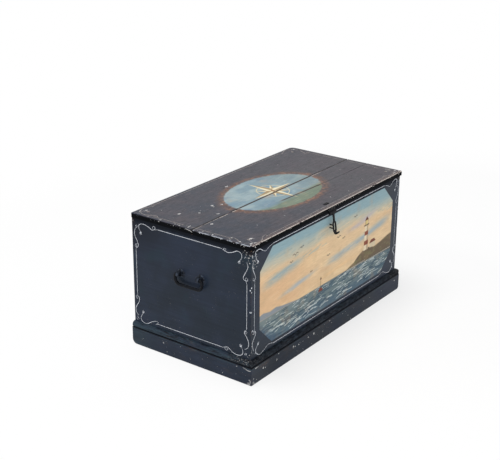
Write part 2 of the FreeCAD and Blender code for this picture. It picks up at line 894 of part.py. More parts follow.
def bored(body, label):
    """Bore a body for the hasp's spikes; what comes out takes over the body's label."""
    nodes.pop(label)
    body.Label = label + "_body"
    keep(cut(label + "_bored", body, spike_holes()), label)


def hasp_plate():
    """Plate on the lid's front edge, with the two outer knuckles below it."""
    body = new_body("hasp_plate")
    back = "-HaspKnuckleRadius"
    plate = rectangle(body, "XZ", "-HaspPlateWidth / 2", "0", "HaspPlateWidth / 2",
                      "HaspPlateTop", back)
    pad(body, plate, "HaspPlateThickness")
    pad(body, circles(body, "YZ", [("0", "0")], "HaspKnuckleRadius"), "HaspPlateWidth",
        middle=True)
    half = "(HaspMiddleKnuckle / 2 + KnuckleGap)"
    reach = "(HaspKnuckleRadius + HingeClearance)"
    pocket(body, rectangle(body, "XZ", f"-{half}", f"-{reach}", half, reach,
                           "HaspKnuckleRadius"), back=False)
    pocket(body, circles(body, "YZ", [("0", "0")], "HaspPinRadius + PinFit",
                         "HaspPlateWidth / 2"))
    place(body, ("HaspX", HASP_Y, HASP_Z))
    bored(body, "hasp_plate")


def hasp_pin():
    """Riveted pin of the hasp."""
    half = "(HaspPlateWidth / 2 + KnuckleGap / 2)"
    shaft = rod("hasp_shaft", (f"HaspX - {half}", HASP_Y, HASP_Z), "x", "HaspPinRadius",
                f"2 * {half}")
    left = rod("hasp_head_a", (f"HaspX - {half} - PinHeadLength", HASP_Y, HASP_Z), "x",
               "HaspPinHeadRadius", "PinHeadLength")
    right = rod("hasp_head_b", (f"HaspX + {half}", HASP_Y, HASP_Z), "x",
                "HaspPinHeadRadius", "PinHeadLength")
    keep(fused("hasp_pin_solid", shaft, left, right), "hasp_pin")


def hasp():
    """Slotted hasp: knuckle, narrow neck, eye with its slot, and a curled end."""
    body = new_body("hasp")
    inner_face = "HaspKnuckleRadius - HaspThickness"
    half = [
        ("HaspMiddleKnuckle / 2", "0"),
        ("HaspMiddleKnuckle / 2", "-HaspKnuckleRadius"),
        ("HaspNeck / 2", "-HaspShoulderZ"),
        ("HaspNeck / 2", "-HaspForkZ"),
        ("HaspEyeWidth / 2", "-HaspEyeZ"),
        ("HaspEyeWidth / 2", "-HaspEyeEndZ"),
        ("HaspTailWidth / 2", "-HaspLength"),
    ]
    other = [(f"-({across})", up) for across, up in reversed(half)]
    pad(body, outline(body, "XZ", half + other, inner_face), "HaspThickness")
    pad(body, circles(body, "YZ", [("0", "0")], "HaspKnuckleRadius"), "HaspMiddleKnuckle",
        middle=True)
    pocket(body, circles(body, "YZ", [("0", "0")], "HaspPinRadius + PinFit",
                         "HaspMiddleKnuckle / 2"))
    slot = rectangle(body, "XZ", "-HaspSlotWidth / 2", "-HaspEyeZ - HaspSlotLength",
                     "HaspSlotWidth / 2", "-HaspEyeZ", "0")
    pocket(body, slot, back=True)
    ends = (-size("HaspEyeZ"), -size("HaspEyeZ") - size("HaspSlotLength"))
    side = size("HaspSlotWidth") / 2

    def slot_corner(a, b):
        level = near(a.z, b.z) and any(near(a.z, end) for end in ends)
        return level and near(abs(a.x), side) and near(a.x, b.x)

    soften(body, slot_corner, "HaspSlotWidth / 2 - HaspSlotFlat")
    curl(body)
    place(body, ("HaspX", HASP_Y, HASP_Z), (1, 0, 0), f"-{HASP_TILT}")


def curl(body):
    """Roll the hasp's end outward and up into a finger lift."""
    sketch = rectangle(
        body, "XY", "-HaspTailWidth / 2", "-HaspKnuckleRadius", "HaspTailWidth / 2",
        "HaspThickness - HaspKnuckleRadius", "-HaspLength",
    )
    level = -number_of("HaspKnuckleRadius + CurlRadius")
    half = number_of("HaspTailWidth / 2")
    axis = sketch.addGeometry(
        Part.LineSegment(FreeCAD.Vector(-half, level, 0), FreeCAD.Vector(half, level, 0)), True
    )
    sketch.addConstraint(Sketcher.Constraint("Horizontal", axis))
    pin_vertex(sketch, axis, "-HaspTailWidth / 2", "-(HaspKnuckleRadius + CurlRadius)")
    number = sketch.addConstraint(Sketcher.Constraint("DistanceX", axis, 1, axis, 2, 2 * half))
    sketch.setExpression(f"Constraints[{number}]", cell("HaspTailWidth"))
    doc.recompute()
    roll = body.newObject("PartDesign::Revolution", "Curl")
    roll.Profile = sketch
    roll.ReferenceAxis = (sketch, ["Axis0"])
    roll.Reversed = True
    bind(roll, Angle="CurlAngle")
    doc.recompute()


def spike_line(side):
    """Where a spike enters the plate and where it comes out on top of the lid."""
    start = FreeCAD.Vector(
        size("HaspX") + side * size("SpikeSpread"),
        number_of(f"{LID_FRONT} - HaspPlateThickness"),
        number_of(f"{HASP_Z} + SpikeZ"),
    )
    end = FreeCAD.Vector(
        size("RoveX") + side * size("RoveSpread"),
        number_of(f"{LID_FRONT} + RoveSetback"),
        number_of(f"{LID_BOTTOM} + LidThickness + RoveThickness"),
    )
    return start, end


def slanted(start, end, radius):
    """A round bar from one place to another."""
    return Part.makeCylinder(radius, (end - start).Length, start, end - start)


def spike_holes():
    """Holes that the hasp's spikes need in the lid."""
    made = doc.addObject("Part::Feature", "spike_holes")
    radius = size("SpikeRadius") + size("NailFit")
    bars = []
    for side in (-1, 1):
        start, end = spike_line(side)
        past = (end - start).normalize() * size("Overrun")
        bars.append(slanted(start - past, end + past, radius))
    made.Shape = Part.makeCompound(bars)
    return made


def hasp_spikes():
    """Spikes through the plate and the lid's front edge, clenched over the rove."""
    radius = size("SpikeRadius")
    plate_face = number_of(f"{LID_FRONT} - HaspPlateThickness")
    top = number_of(f"{LID_BOTTOM} + LidThickness + RoveThickness")
    pieces = []
    for side in (-1, 1):
        start, end = spike_line(side)
        bar = slanted(start, end, radius)
        head_at = FreeCAD.Vector(start.x, plate_face, start.z)
        head = Part.makeCone(size("SpikeHeadRadius"), radius, size("SpikeHeadHeight"),
                             head_at, FreeCAD.Vector(0, -1, 0))
        clench_at = FreeCAD.Vector(end.x, end.y, top)
        clench = Part.makeCone(radius + size("ClenchSpread"), radius, size("ClenchHeight"),
                               clench_at, FreeCAD.Vector(0, 0, 1))
        pieces.append(bar.fuse([head, clench]).removeSplitter())
    made = doc.addObject("Part::Feature", "hasp_spike_pair")
    made.Shape = Part.makeCompound(pieces)
    keep(made, "hasp_spikes")


def hasp_rove():
    """Small plate on top of the lid, under the clenched ends."""
    top = f"{LID_BOTTOM} + LidThickness"
    middle = f"{LID_FRONT} + RoveSetback"
    plate = block(
        "rove_plate",
        ("RoveX - RoveLength / 2", f"{middle} - RoveWidth / 2", top),
        ("RoveX + RoveLength / 2", f"{middle} + RoveWidth / 2", f"{top} + RoveThickness"),
    )
    keep(cut("rove_bored", plate, spike_holes()), "hasp_rove")


def bend(name, centre, rotation, bend_radius, rod_radius, sweep):
    """Part of a ring; it starts along its own +X and turns about its own Z."""
    made = doc.addObject("Part::Torus", name)
    made.Angle1 = -180
    made.Angle2 = 180
    made.Angle3 = sweep
    bind(made, Radius1=bend_radius, Radius2=rod_radius)
    made.Placement = FreeCAD.Placement(FreeCAD.Vector(), rotation)
    bind(made, Placement__Base__x=centre[0], Placement__Base__y=centre[1],
         Placement__Base__z=centre[2])
    return made


def upright(start_degrees):
    """Stand a ring in the YZ plane, started so many degrees round from +Y."""
    stand = FreeCAD.Rotation(FreeCAD.Vector(0, 0, 1), 90)
    stand = stand.multiply(FreeCAD.Rotation(FreeCAD.Vector(1, 0, 0), 90))
    return stand.multiply(FreeCAD.Rotation(FreeCAD.Vector(0, 0, 1), start_degrees))


def staple():
    """Staple through the front board, nose outward, ends clenched against the inside."""
    face = "-BodyDepth / 2"
    nose_y = f"{face} - {STAPLE_REACH} + StapleWire + StapleBend"
    inside = f"{face} + WallThickness + StapleTail"
    parts = [bend("staple_nose", ("HaspX", nose_y, STAPLE_Z), upright(90), "StapleBend",
                  "StapleWire", 180)]
    for name, sign, turn in (("upper", "+", "z"), ("lower", "-", "z")):
        height = f"{STAPLE_Z} {sign} StapleBend"
        parts.append(rod(f"staple_leg_{name}", ("HaspX", nose_y, height), "y", "StapleWire",
                         f"({inside}) - ({nose_y})"))
        low = height if sign == "+" else f"{height} - StapleClench"
        parts.append(rod(f"staple_clench_{name}", ("HaspX", inside, low), turn, "StapleWire",
                         "StapleClench"))
        knee = doc.addObject("Part::Sphere", f"staple_knee_{name}")
        bind(knee, Radius="StapleWire")
        place(knee, ("HaspX", inside, height))
        parts.append(knee)
    keep(fused("staple_solid", *parts), "staple")


# ---------------------------------------------------------------- bail handles
EYE_Y = "(BailHalfWidth - BailTopBend - BailSideGap - EyeThickness / 2)"
BAIL_PIN_INNER = f"({EYE_Y} - EyeThickness / 2 - BailPinEnd)"


def facing(thing, side, shift=""):
    """Stand an object made with +X outward on the left or right end board, at the handle."""
    sign = "-" if side < 0 else ""
    spot = (f"{sign}BodyLength / 2", f"-BailForward {shift}", "BailZ")
    place(thing, spot, (0, 0, 1), 180 if side < 0 else 0)


def bail(label, side):
    """Drop handle: two in-turned pins, rounded corners and a straight grip."""
    out = "EyeStandoff"
    top_y = "(BailHalfWidth - BailTopBend)"
    low_y = "(BailHalfWidth - BailLowBend)"
    low_z = "(BailDrop - BailLowBend)"
    parts = [rod(f"{label}_grip", (out, f"-{low_y}", "-BailDrop"), "y", "BailRod",
                 f"2 * {low_y}")]
    for name, sign in (("a", "-"), ("b", "")):
        start = f"-{top_y}" if sign else BAIL_PIN_INNER
        parts.append(rod(f"{label}_pin_{name}", (out, start, "0"), "y", "BailRod",
                         f"{top_y} - {BAIL_PIN_INNER}"))
        parts.append(rod(f"{label}_leg_{name}", (out, f"{sign}BailHalfWidth", f"-{low_z}"), "z",
                         "BailRod", f"{low_z} - BailTopBend"))
        parts.append(bend(f"{label}_shoulder_{name}", (out, f"{sign}{top_y}", "-BailTopBend"),
                          upright(90 if sign else 0), "BailTopBend", "BailRod", 90))
        parts.append(bend(f"{label}_corner_{name}", (out, f"{sign}{low_y}", f"-{low_z}"),
                          upright(180 if sign else 270), "BailLowBend", "BailRod", 90))
    made = keep(fused(f"{label}_solid", *parts), label)
    facing(made, side)


def eye_set(side_name, side):
    """The two eyes of one handle, each with its rose outside and its nut inside."""
    shank_start = "-(WallThickness + NutThickness)"
    for name, sign in (("front", "-"), ("back", "+")):
        tag = f"{side_name}_{name}"
        y = f"{sign} {EYE_Y}"
        shank = rod(f"{tag}_shank", (shank_start, "0", "0"), "x", "ShankRadius",
                    f"EyeStandoff - ({shank_start})")
        peen = rod(f"{tag}_peen", (f"{shank_start} - PeenLength", "0", "0"), "x", "PeenRadius",
                   "PeenLength")
        ring = rod(f"{tag}_ring", ("EyeStandoff", "-EyeThickness / 2", "0"), "y", "EyeRadius",
                   "EyeThickness")
        bore = rod(f"{tag}_bore", ("EyeStandoff", "-EyeThickness / 2 - Overrun", "0"), "y",
                   "BailRod + PinFit", "EyeThickness + 2 * Overrun")
        eye = cut(f"{tag}_eye", fused(f"{tag}_forging", shank, peen, ring), bore)
        facing(keep(eye, f"eye_{tag}"), side, y)

        dish = doc.addObject("Part::Cone", f"{tag}_dish")
        bind(dish, Radius1="RoseRadius", Radius2="RoseTopRadius", Height="RoseThickness")
        place(dish, ("0", "0", "0"), (0, 1, 0), 90)
        hole = rod(f"{tag}_rose_hole", ("-Overrun", "0", "0"), "x", "ShankRadius + ShankFit",
                   "RoseThickness + 2 * Overrun")
        facing(keep(cut(f"{tag}_rose", dish, hole), f"rose_{tag}"), side, y)

        half = "NutSide / 2"
        plate = block(f"{tag}_nut_block", (shank_start, f"-{half}", f"-{half}"),
                      ("-WallThickness", half, half))
        clear = rod(f"{tag}_nut_hole", (f"{shank_start} - Overrun", "0", "0"), "x",
                    "ShankRadius + ShankFit", "NutThickness + 2 * Overrun")
        facing(keep(cut(f"{tag}_nut", plate, clear), f"rove_{tag}"), side, y)


# ---------------------------------------------------------------- build
long_board("carcass_front", "-BodyDepth / 2 + WallThickness", True)
long_board("carcass_back", "BodyDepth / 2", False)
end_board("carcass_left", "-BodyLength / 2", "0", "WallThickness")
end_board("carcass_right", "BodyLength / 2 - WallThickness", "WallThickness", "0")
bottom_boards()
plinth_front()
plinth_end("plinth_left", -1)
plinth_end("plinth_right", 1)
till()
lid_boards()
battens()
for side_name, sign_text in (("left", "-"), ("right", "")):
    hinge_leaf(f"hinge_leaf_{side_name}", sign_text)
    hinge_strap(f"hinge_strap_{side_name}", sign_text)
    hinge_pin(f"hinge_pin_{side_name}", sign_text)
hinge_nails()
hasp_plate()
hasp_pin()
hasp()
hasp_spikes()
hasp_rove()
staple()
for side_name, side in (("left", -1), ("right", 1)):
    bail(f"bail_{side_name}", side)
    eye_set(side_name, side)
doc.recompute()

for thing in doc.Objects:
    if "Invalid" in thing.State or "Error" in thing.State:
        raise RuntimeError(f"{thing.Label} failed: {thing.State}")
for label, thing in nodes.items():
    if thing.Shape.isNull() or not thing.Shape.isValid():
        raise RuntimeError(f"{label} has no valid shape")

os.makedirs("parts", exist_ok=True)
for label, thing in nodes.items():
    thing.Shape.exportStep(f"parts/{label}.step")
print(f"{len(nodes)} nodes written")
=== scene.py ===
"""Looks of the sea chest: worn paint, lining, two painted panels, ironwork, floor and light."""
import math
import random

import bpy
import numpy as np
from mathutils import Matrix, Vector


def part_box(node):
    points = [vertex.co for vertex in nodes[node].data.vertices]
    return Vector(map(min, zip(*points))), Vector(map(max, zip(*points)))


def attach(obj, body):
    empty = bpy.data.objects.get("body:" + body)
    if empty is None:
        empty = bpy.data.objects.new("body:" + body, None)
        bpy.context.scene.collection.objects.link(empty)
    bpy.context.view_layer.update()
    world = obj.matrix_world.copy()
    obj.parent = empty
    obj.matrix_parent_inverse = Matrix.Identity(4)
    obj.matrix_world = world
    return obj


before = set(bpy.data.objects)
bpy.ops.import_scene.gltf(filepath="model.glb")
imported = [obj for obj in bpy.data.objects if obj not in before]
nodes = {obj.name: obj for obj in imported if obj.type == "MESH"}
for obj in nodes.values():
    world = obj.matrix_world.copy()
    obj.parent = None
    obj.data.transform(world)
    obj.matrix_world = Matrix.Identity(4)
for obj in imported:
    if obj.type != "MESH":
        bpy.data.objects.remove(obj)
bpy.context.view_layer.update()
MM = 0.001


# ---- sizes read from the frame, in mm
def edges(box):
    """Low x, y and z of a box, then high x, y and z."""
    return [value / MM for corner in box for value in corner]


left, front, _, _, _, RIM = edges(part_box("carcass_front"))
HALF_LENGTH, HALF_DEPTH = -left, -front
left, LID_FRONT, LID_UNDER, _, JOINT_FRONT, LID_TOP = edges(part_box("lid_board_front"))
LID_HALF, JOINT_BACK = -left, edges(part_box("lid_board_back"))[1]
JOINT_MIDDLE = (JOINT_FRONT + JOINT_BACK) / 2
left, PLINTH_FRONT = edges(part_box("plinth_front"))[:2]
PLINTH_HALF = -left

# ---- sizes of the paint, in mm
BOARD_TOP = 60  # top of the plinth's flat board; the moulding starts above it
OVAL_X, OVAL_Y, OVAL_HALF_X, OVAL_HALF_Y = -9, -7, 210, 137
PANEL_HALF, PANEL_LOW, PANEL_HIGH, PANEL_CUT = 405, 101, 425, 65
HORIZON = 192
# how far each kind of sheet lies off its board
PICTURE_OFF, LINING_OFF, LONG_LINING_OFF = 0.07, 0.14, 0.2
CHIP_OFF, EDGE_CHIP_OFF, LID_CHIP_OFF = 0.2, 0.12, 0.26


def linear(values):
    """Screen values from 0 to 1, turned to linear light."""
    return np.where(values <= 0.04045, values / 12.92, ((values + 0.055) / 1.055) ** 2.4)


def srgb(*levels):
    """A colour written as 0 to 255 values, turned to linear."""
    return (*linear(np.array(levels) / 255), 1)


# ---- short calls for node trees
MIX_SHARE, MIX_FIRST, MIX_SECOND, MIX_OUT = 0, 6, 7, 2  # sockets of a Mix node that mixes colours


def add_node(tree, kind, inputs=(), **settings):
    """A new node with its settings and its inputs, in order or by name, linked or set to a plain value."""
    made = tree.nodes.new("ShaderNode" + kind)
    for name, value in settings.items():
        setattr(made, name, value)
    for key, value in inputs.items() if isinstance(inputs, dict) else enumerate(inputs):
        put(tree, made.inputs[key], value)
    return made


def put(tree, socket, value):
    """Link an output to an input, or set the input to a plain value."""
    value = getattr(value, "output", value)
    if isinstance(value, bpy.types.NodeSocket):
        tree.links.new(value, socket)
    else:
        socket.default_value = value


def operator(operation):
    """A method that adds a maths node for a value and what it is joined with."""
    return lambda value, *others: value.graph.math(operation, value, *others)


class Value:
    """A node's output in a Graph. Sums, products and the calls below add further nodes."""

    __add__, __sub__, __mul__ = operator("ADD"), operator("SUBTRACT"), operator("MULTIPLY")
    __truediv__, __abs__ = operator("DIVIDE"), operator("ABSOLUTE")

    def __init__(self, graph, output):
        self.graph, self.output = graph, output

    def __rsub__(self, other):
        return self.graph.math("SUBTRACT", other, self)

    def step(self, low, high, start=0, end=1):
        """A smooth step between two limits."""
        return self.graph.add("MapRange", (self, low, high, start, end), interpolation_type="SMOOTHSTEP")

    def fall(self, low, high, start=1):
        """A smooth step down to 0."""
        return self.step(low, high, start, 0)

    def to(self, *layers):
        """This colour with others laid over it: colour, share, colour, share..."""
        out = self
        for colour, share in zip(layers[::2], layers[1::2]):
            out = self.graph.mix(share, out, colour)
        return out

    def shaded(self, tone):
        """This colour made darker or lighter by a tone around 1."""
        return self.graph.add("VectorMath", {0: self, "Scale": tone}, operation="SCALE")


class Graph:
    """A material with its shader, and short calls that add nodes to it."""

    def __init__(self, name):
        self.material = bpy.data.materials.new(name)
        self.material.use_nodes = True
        self.tree = self.material.node_tree
        self.shader = self.tree.nodes["Principled BSDF"]
        in_metres = add_node(self.tree, "TexCoord").outputs["Object"]
        self.place = self.add("VectorMath", {0: in_metres, "Scale": 1 / MM}, operation="SCALE")
        split = add_node(self.tree, "SeparateXYZ", [self.place])
        self.x, self.y, self.z = (Value(self, output) for output in split.outputs)

    def add(self, kind, inputs=(), **settings):
        """The first output of a new node."""
        return Value(self, add_node(self.tree, kind, inputs, **settings).outputs[0])

    def math(self, operation, *values):
        """A maths node."""
        return self.add("Math", values, operation=operation)

    def mix(self, share, first, second):
        """A colour between two colours."""
        inputs = {MIX_SHARE: share, MIX_FIRST: first, MIX_SECOND: second}
        made = add_node(self.tree, "Mix", inputs, data_type="RGBA", clamp_factor=True)
        return Value(self, made.outputs[MIX_OUT])

    def noise(self, stretch, detail=3, roughness=0.55, warp=0):
        """Noise whose features are as large as stretch says, in mm along each axis."""
        if np.isscalar(stretch):
            stretch = (stretch,) * 3
        scaled = self.add("VectorMath", (self.place, [1 / s for s in stretch]), operation="MULTIPLY")
        return self.add("TexNoise", {"Vector": scaled, "Scale": 1, "Detail": detail, "Roughness": roughness,
                                     "Distortion": warp})

    def length(self, a, b):
        """The length of a vector of two parts."""
        return self.math("SQRT", a * a + b * b)

    def least(self, *values):
        """The smallest of some values."""
        out = values[0]
        for value in values[1:]:
            out = self.math("MINIMUM", out, value)
        return out

    def finish(self, colour, roughness, height, depth=0.3, metal=0, gloss=0.15):
        """Join the colour, the roughness and the relief, depth mm high, to the shader."""
        bump = self.add("Bump", {"Strength": 1, "Distance": depth * MM, "Height": height})
        given = {"Base Color": colour, "Roughness": roughness, "Metallic": metal, "Normal": bump}
        for name, value in given.items():
            put(self.tree, self.shader.inputs[name], value)
        self.shader.inputs["Specular IOR Level"].default_value = gloss
        return self.material


# ---- surfaces
NAVY_DEEP = srgb(31, 40, 52)
NAVY = srgb(38, 47, 64)
NAVY_TEAL = srgb(33, 54, 65)
LID_COOL = srgb(39, 47, 61)
LID_WARM = srgb(59, 58, 65)
LID_DUST = srgb(71, 67, 73)
LID_SMEAR = srgb(90, 82, 82)
LID_PINK = srgb(96, 84, 90)
LID_DARK = srgb(26, 31, 38)
LID_BAND = srgb(92, 78, 76)
LID_EDGE_SHADE = srgb(2, 4, 8)
DUST_BROWN = srgb(70, 60, 58)
PALE_TEAL = srgb(58, 78, 88)
EDGE_BLACK = srgb(8, 12, 20)
BROWN_DARK = srgb(62, 42, 30)
BROWN = srgb(116, 82, 58)
PRIMER = srgb(176, 164, 150)
CHIP = srgb(216, 214, 210)
CHIP_DULL = srgb(166, 166, 168)
LINING = srgb(232, 236, 244)
LINING_DULL = srgb(176, 180, 186)
ARRIS_PALE = srgb(206, 196, 188)
ARRIS_COOL = srgb(186, 192, 202)
LID_TINTS = (ARRIS_PALE, srgb(156, 142, 136))
RING_ORANGE = srgb(150, 106, 76)
RING_BROWN = srgb(100, 70, 54)
PINE = srgb(178, 142, 102)
PINE_DARK = srgb(150, 112, 74)
PINE_GRAIN = srgb(108, 76, 48)
PINE_STAIN = srgb(112, 94, 74)
RUST = srgb(62, 42, 32)
VARNISH = srgb(186, 158, 120)


def oil_paint(g, grain, base, other, extra=None, marks=(0.78, 1.3)):
    """Dark oil paint: cloudy tone, brush marks along the grain, specks of dust."""
    cloud = g.noise(130)
    brush = g.noise(grain, 4, 0.62)
    fine = g.noise(2.2, 2, 0.5)
    colour = g.mix(cloud.step(0.35, 0.68), base, other)
    if extra:
        colour = colour.to(extra, g.noise(90, 2).step(0.55, 0.75) * 0.4)
    colour = colour.shaded(brush.step(0.25, 0.8, *marks))
    specks = g.noise(3.4, 2, 0.5).step(0.70, 0.76) * g.noise(60, 2).step(0.45, 0.6)
    colour = colour.to(PRIMER, specks * 0.35)
    rough = cloud.step(0.3, 0.7, 0.30, 0.42) + fine.step(0.3, 0.7, -0.03, 0.06)
    return colour, rough, brush * 0.8 + fine * 0.2


def wear(g, state, distance, width, amount=1, pale=0.5):
    """Paint worn to brown wood near an edge, with pale primer in places."""
    colour, rough, height = state
    reach = distance + (g.noise(7, 4, 0.65) - 0.5) * (width * 3.2)
    bare = reach.fall(width * 0.35, width) * amount
    wood = g.mix(g.noise(4.5).step(0.4, 0.62), BROWN_DARK, BROWN)
    colour = colour.to(wood, bare, PRIMER, g.noise(3.1, 3, 0.6).step(0.56, 0.62) * bare * pale)
    return colour, rough + bare * 0.3, height - bare * 0.9


def pine(g, along):
    """Bare aged pine with grain along one axis."""
    grain = g.noise([210 if axis == along else 4 for axis in "xyz"], 4, 0.6, 0.4)
    band = g.noise([900 if axis == along else 30 for axis in "xyz"], 3, 0.5, 0.8)
    colour = g.mix(band.step(0.3, 0.7), PINE, PINE_DARK)
    stain = g.noise(110, 4).step(0.48, 0.7) * 0.35
    colour = colour.to(PINE_GRAIN, grain.step(0.48, 0.74) * 0.42, PINE_STAIN, stain)
    return colour, grain.step(0.3, 0.7, 0.62, 0.82), grain


def carcass_state(g):
    """Carcass paint: worn arrises and upper corners, painted shade under the lid's overhang, darker towards
    the rear top.
    """
    state = oil_paint(g, (170, 170, 5), NAVY_DEEP, NAVY, NAVY_TEAL, (0.9, 1.13))
    arris = g.length(abs(g.x) - HALF_LENGTH, abs(g.y) - HALF_DEPTH)
    state = wear(g, state, arris, 2, g.noise(38).step(0.46, 0.6) * 0.4, 0.7)
    below = RIM - g.z
    colour, rough, height = wear(g, state, g.length(arris, below), 17, 0.55, 0.9)
    # a dark band below the rim: painted shade under the lid's overhang
    shade_under_lid = (below + g.noise(30) * 14).fall(14, 31) * 0.85
    # darker towards the top at the rear: on the ends' rear part and on the back
    darker_rear_top = g.y.step(40, 230) * g.z.step(280, 420) * 0.66
    return colour.to(EDGE_BLACK, g.math("MAXIMUM", shade_under_lid, darker_rear_top)), rough + shade_under_lid * 0.5, height


def painted_carcass(along):
    """Carcass boards: paint outside, bare pine inside with its grain along one axis."""
    g = Graph(f"paint_carcass_{along}")
    colour, rough, height = carcass_state(g)
    inside = (abs(g.x).fall(HALF_LENGTH - 2.4, HALF_LENGTH - 2)
              * abs(g.y).fall(HALF_DEPTH - 2.4, HALF_DEPTH - 2) * g.z.fall(RIM - 0.8, RIM - 0.4))
    return g.finish(colour.to(pine(g, along)[0], inside), rough + inside * 0.3, height, 0.25)


def painted_plinth():
    """Plinth: the same paint, rubbed and chipped along its edges; dark patches, painted sheen and shade on
    the moulding.
    """
    g = Graph("paint_plinth")
    state = oil_paint(g, (150, 150, 12), NAVY_DEEP, NAVY, NAVY_TEAL, (0.84, 1.2))
    out_x, out_y = abs(g.x) - PLINTH_HALF, g.y - PLINTH_FRONT
    face, arris = g.least(abs(out_x), abs(out_y)), g.length(out_x, out_y)
    patchy = g.noise(34).step(0.45, 0.6)
    state = wear(g, state, g.length(face, g.z - BOARD_TOP), 2.2, patchy * 0.3, 0.9)
    state = wear(g, state, g.length(face, g.z), 2.2, patchy * 0.4, 0.7)
    colour, rough, height = wear(g, state, arris, 2.4, patchy * 0.3, 0.9)
    moulding = g.z.step(BOARD_TOP + 2, BOARD_TOP + 4)
    corner = moulding * arris.fall(30, 110)
    smudge = g.length((g.x + 402) * (1 / 34), (g.z - 50) * (1 / 9))
    # a band along the board's upper arris, for a pale line of rubbed paint and painted highlight
    rubbed = abs(g.z - (BOARD_TOP - 3.6)).fall(0.6, 1.8, 0.6)
    facing = g.y.fall(-HALF_DEPTH - 1, -HALF_DEPTH + 1)
    # the front's moulding darkened in patches: painted shade of its cove
    front_moulding_shade = moulding * facing * g.noise((18, 18, 7), 4, 0.66).step(0.36, 0.6, 0.95, 0.5)
    board = g.z.fall(BOARD_TOP + 2, BOARD_TOP + 4) * g.x.step(-440, -330)
    darker = board * facing * g.x.step(60, 440, 1, 0.45)
    colour = colour.to(
        DUST_BROWN, g.noise((60, 60, 14), 4, 0.65).step(0.54, 0.66) * g.z.step(30, 66, 0.15, 0.6),
        # pale teal streaks on the moulding: painted sheen
        PALE_TEAL, moulding * g.noise((90, 90, 3), 4, 0.6).step(0.42, 0.6) * 0.55,
        EDGE_BLACK, moulding * g.noise((30, 30, 4), 4, 0.68).step(0.5, 0.62) * 0.75,
        EDGE_BLACK, corner * g.noise(9).step(0.36, 0.52) * 0.85,
        CHIP_DULL, corner * g.noise(4.5, 3, 0.6).step(0.56, 0.64) * 0.7,
        DUST_BROWN, smudge.fall(0.5, 1.2, 0.75) * g.noise(12).step(0.4, 0.6),
        g.mix(0.5, NAVY_TEAL, PALE_TEAL),
        g.y.step(90, 250) * g.noise((60, 60, 6), 4, 0.6).step(0.4, 0.62, 0.25, 0.6),
        # the pale line along the board's upper arris: rubbed paint and painted highlight
        PALE_TEAL, rubbed * g.noise(46).step(0.44, 0.58),
        EDGE_BLACK, front_moulding_shade,
        EDGE_BLACK, darker * 0.34,
        # the front's moulding darker towards the right: painted shade
        EDGE_BLACK, moulding * facing * g.x.step(60, 330, 0, 0.26),
        # a black line in the quirk above the board: painted shade in the groove
        EDGE_BLACK, abs(g.z - (BOARD_TOP + 0.5)).fall(1.6, 3.6, 0.85),
    )
    rough = rough + front_moulding_shade * 0.5 + darker * 0.14
    height = height + moulding * g.noise((24, 24, 6), 4, 0.6) * 2.4
    return g.finish(colour, rough, height, 0.35)


def oval_distance(g):
    """How far a place on the lid lies outside the painted oval, in mm."""
    ratio = g.length((g.x - OVAL_X) / OVAL_HALF_X, (g.y - OVAL_Y) / OVAL_HALF_Y)
    return (ratio - 1) * ((OVAL_HALF_X + OVAL_HALF_Y) / 2)


def lid_state(g):
    """The lid's greyer, dustier paint with the oval's brown ring, worn arrises and a dirty joint."""
    ground = g.mix(g.x.step(-380, 120), LID_COOL, LID_WARM)
    colour, rough, height = oil_paint(g, (190, 4.5, 4.5), ground, LID_DUST)
    mottle = g.noise((20, 11, 11), 4, 0.7)
    top = g.z.step(LID_TOP - 1, LID_TOP - 0.2)
    rag = g.noise(26, 4, 0.6) - 0.5
    ring = (oval_distance(g) + rag * 34).fall(8, 36)
    ring = ring * g.noise(15, 4, 0.62).step(0.36, 0.62, 0.2, 0.72)
    drop, inward = LID_TOP - g.z, g.y - LID_FRONT
    # the lid's edge faces darkened: painted shade
    edge = (drop + g.noise(6) * 1.2).step(1.9, 2.8)
    colour = colour.to(
        LID_COOL, g.y.step(40, 220, 0, 0.32),
        LID_SMEAR, g.noise((60, 22, 22), 4, 0.6).step(0.55, 0.75) * 0.24,
        LID_PINK, mottle.step(0.54, 0.68) * 0.36,
        LID_DARK, mottle.step(0.47, 0.35) * 0.5,
        g.mix(g.noise(13).step(0.46, 0.6), RING_BROWN, RING_ORANGE), ring * top,
        LID_BAND, (inward + rag * 22).fall(8, 14, 0.75) * top,
        LID_EDGE_SHADE, edge,
    )
    front, back = g.length(inward, drop), g.length(HALF_DEPTH - g.y, drop)
    side = g.length(LID_HALF - abs(g.x), drop)
    past_joint = g.y - JOINT_MIDDLE
    state = wear(g, (colour, rough + edge * 0.5, height), abs(past_joint), 1.7, 0.4, 0.9)
    colour, rough, height = wear(g, state, g.least(front, side, back), 1.5, 0.35, 0.7)
    flicker = g.noise(5, 3, 0.6) - 0.5
    for distance, low, strength, tint in (
        (front, 0.34, 0.85, ARRIS_PALE), (side, 0.42, 0.8, ARRIS_COOL), (back, 0.52, 0.5, ARRIS_PALE),
    ):
        line = (distance + flicker * 3).fall(1.5, 2.3)
        colour = colour.to(tint, line * g.noise(19).step(low, low + 0.08) * strength)
    # the joint: dirt behind it, its front lip rubbed pale in two parts
    dirt = past_joint.fall(5.4, 7.4, 0.9) * past_joint.step(-1.2, -0.6) * top * g.noise(40).step(0.3, 0.5)
    left_part = g.x.step(-350, -300, 0.4, 0.9) * g.x.fall(-232, -190)
    right_part = g.x.step(196, 210) * g.x.fall(250, 276, 0.7)
    lip = past_joint.step(-4.6, -3) * past_joint.fall(-1, -0.4)
    rubbed = g.math("MAXIMUM", left_part, right_part) * lip * top * g.noise(24).step(0.36, 0.5)
    return colour.to(EDGE_BLACK, dirt, ARRIS_PALE, rubbed), rough, height


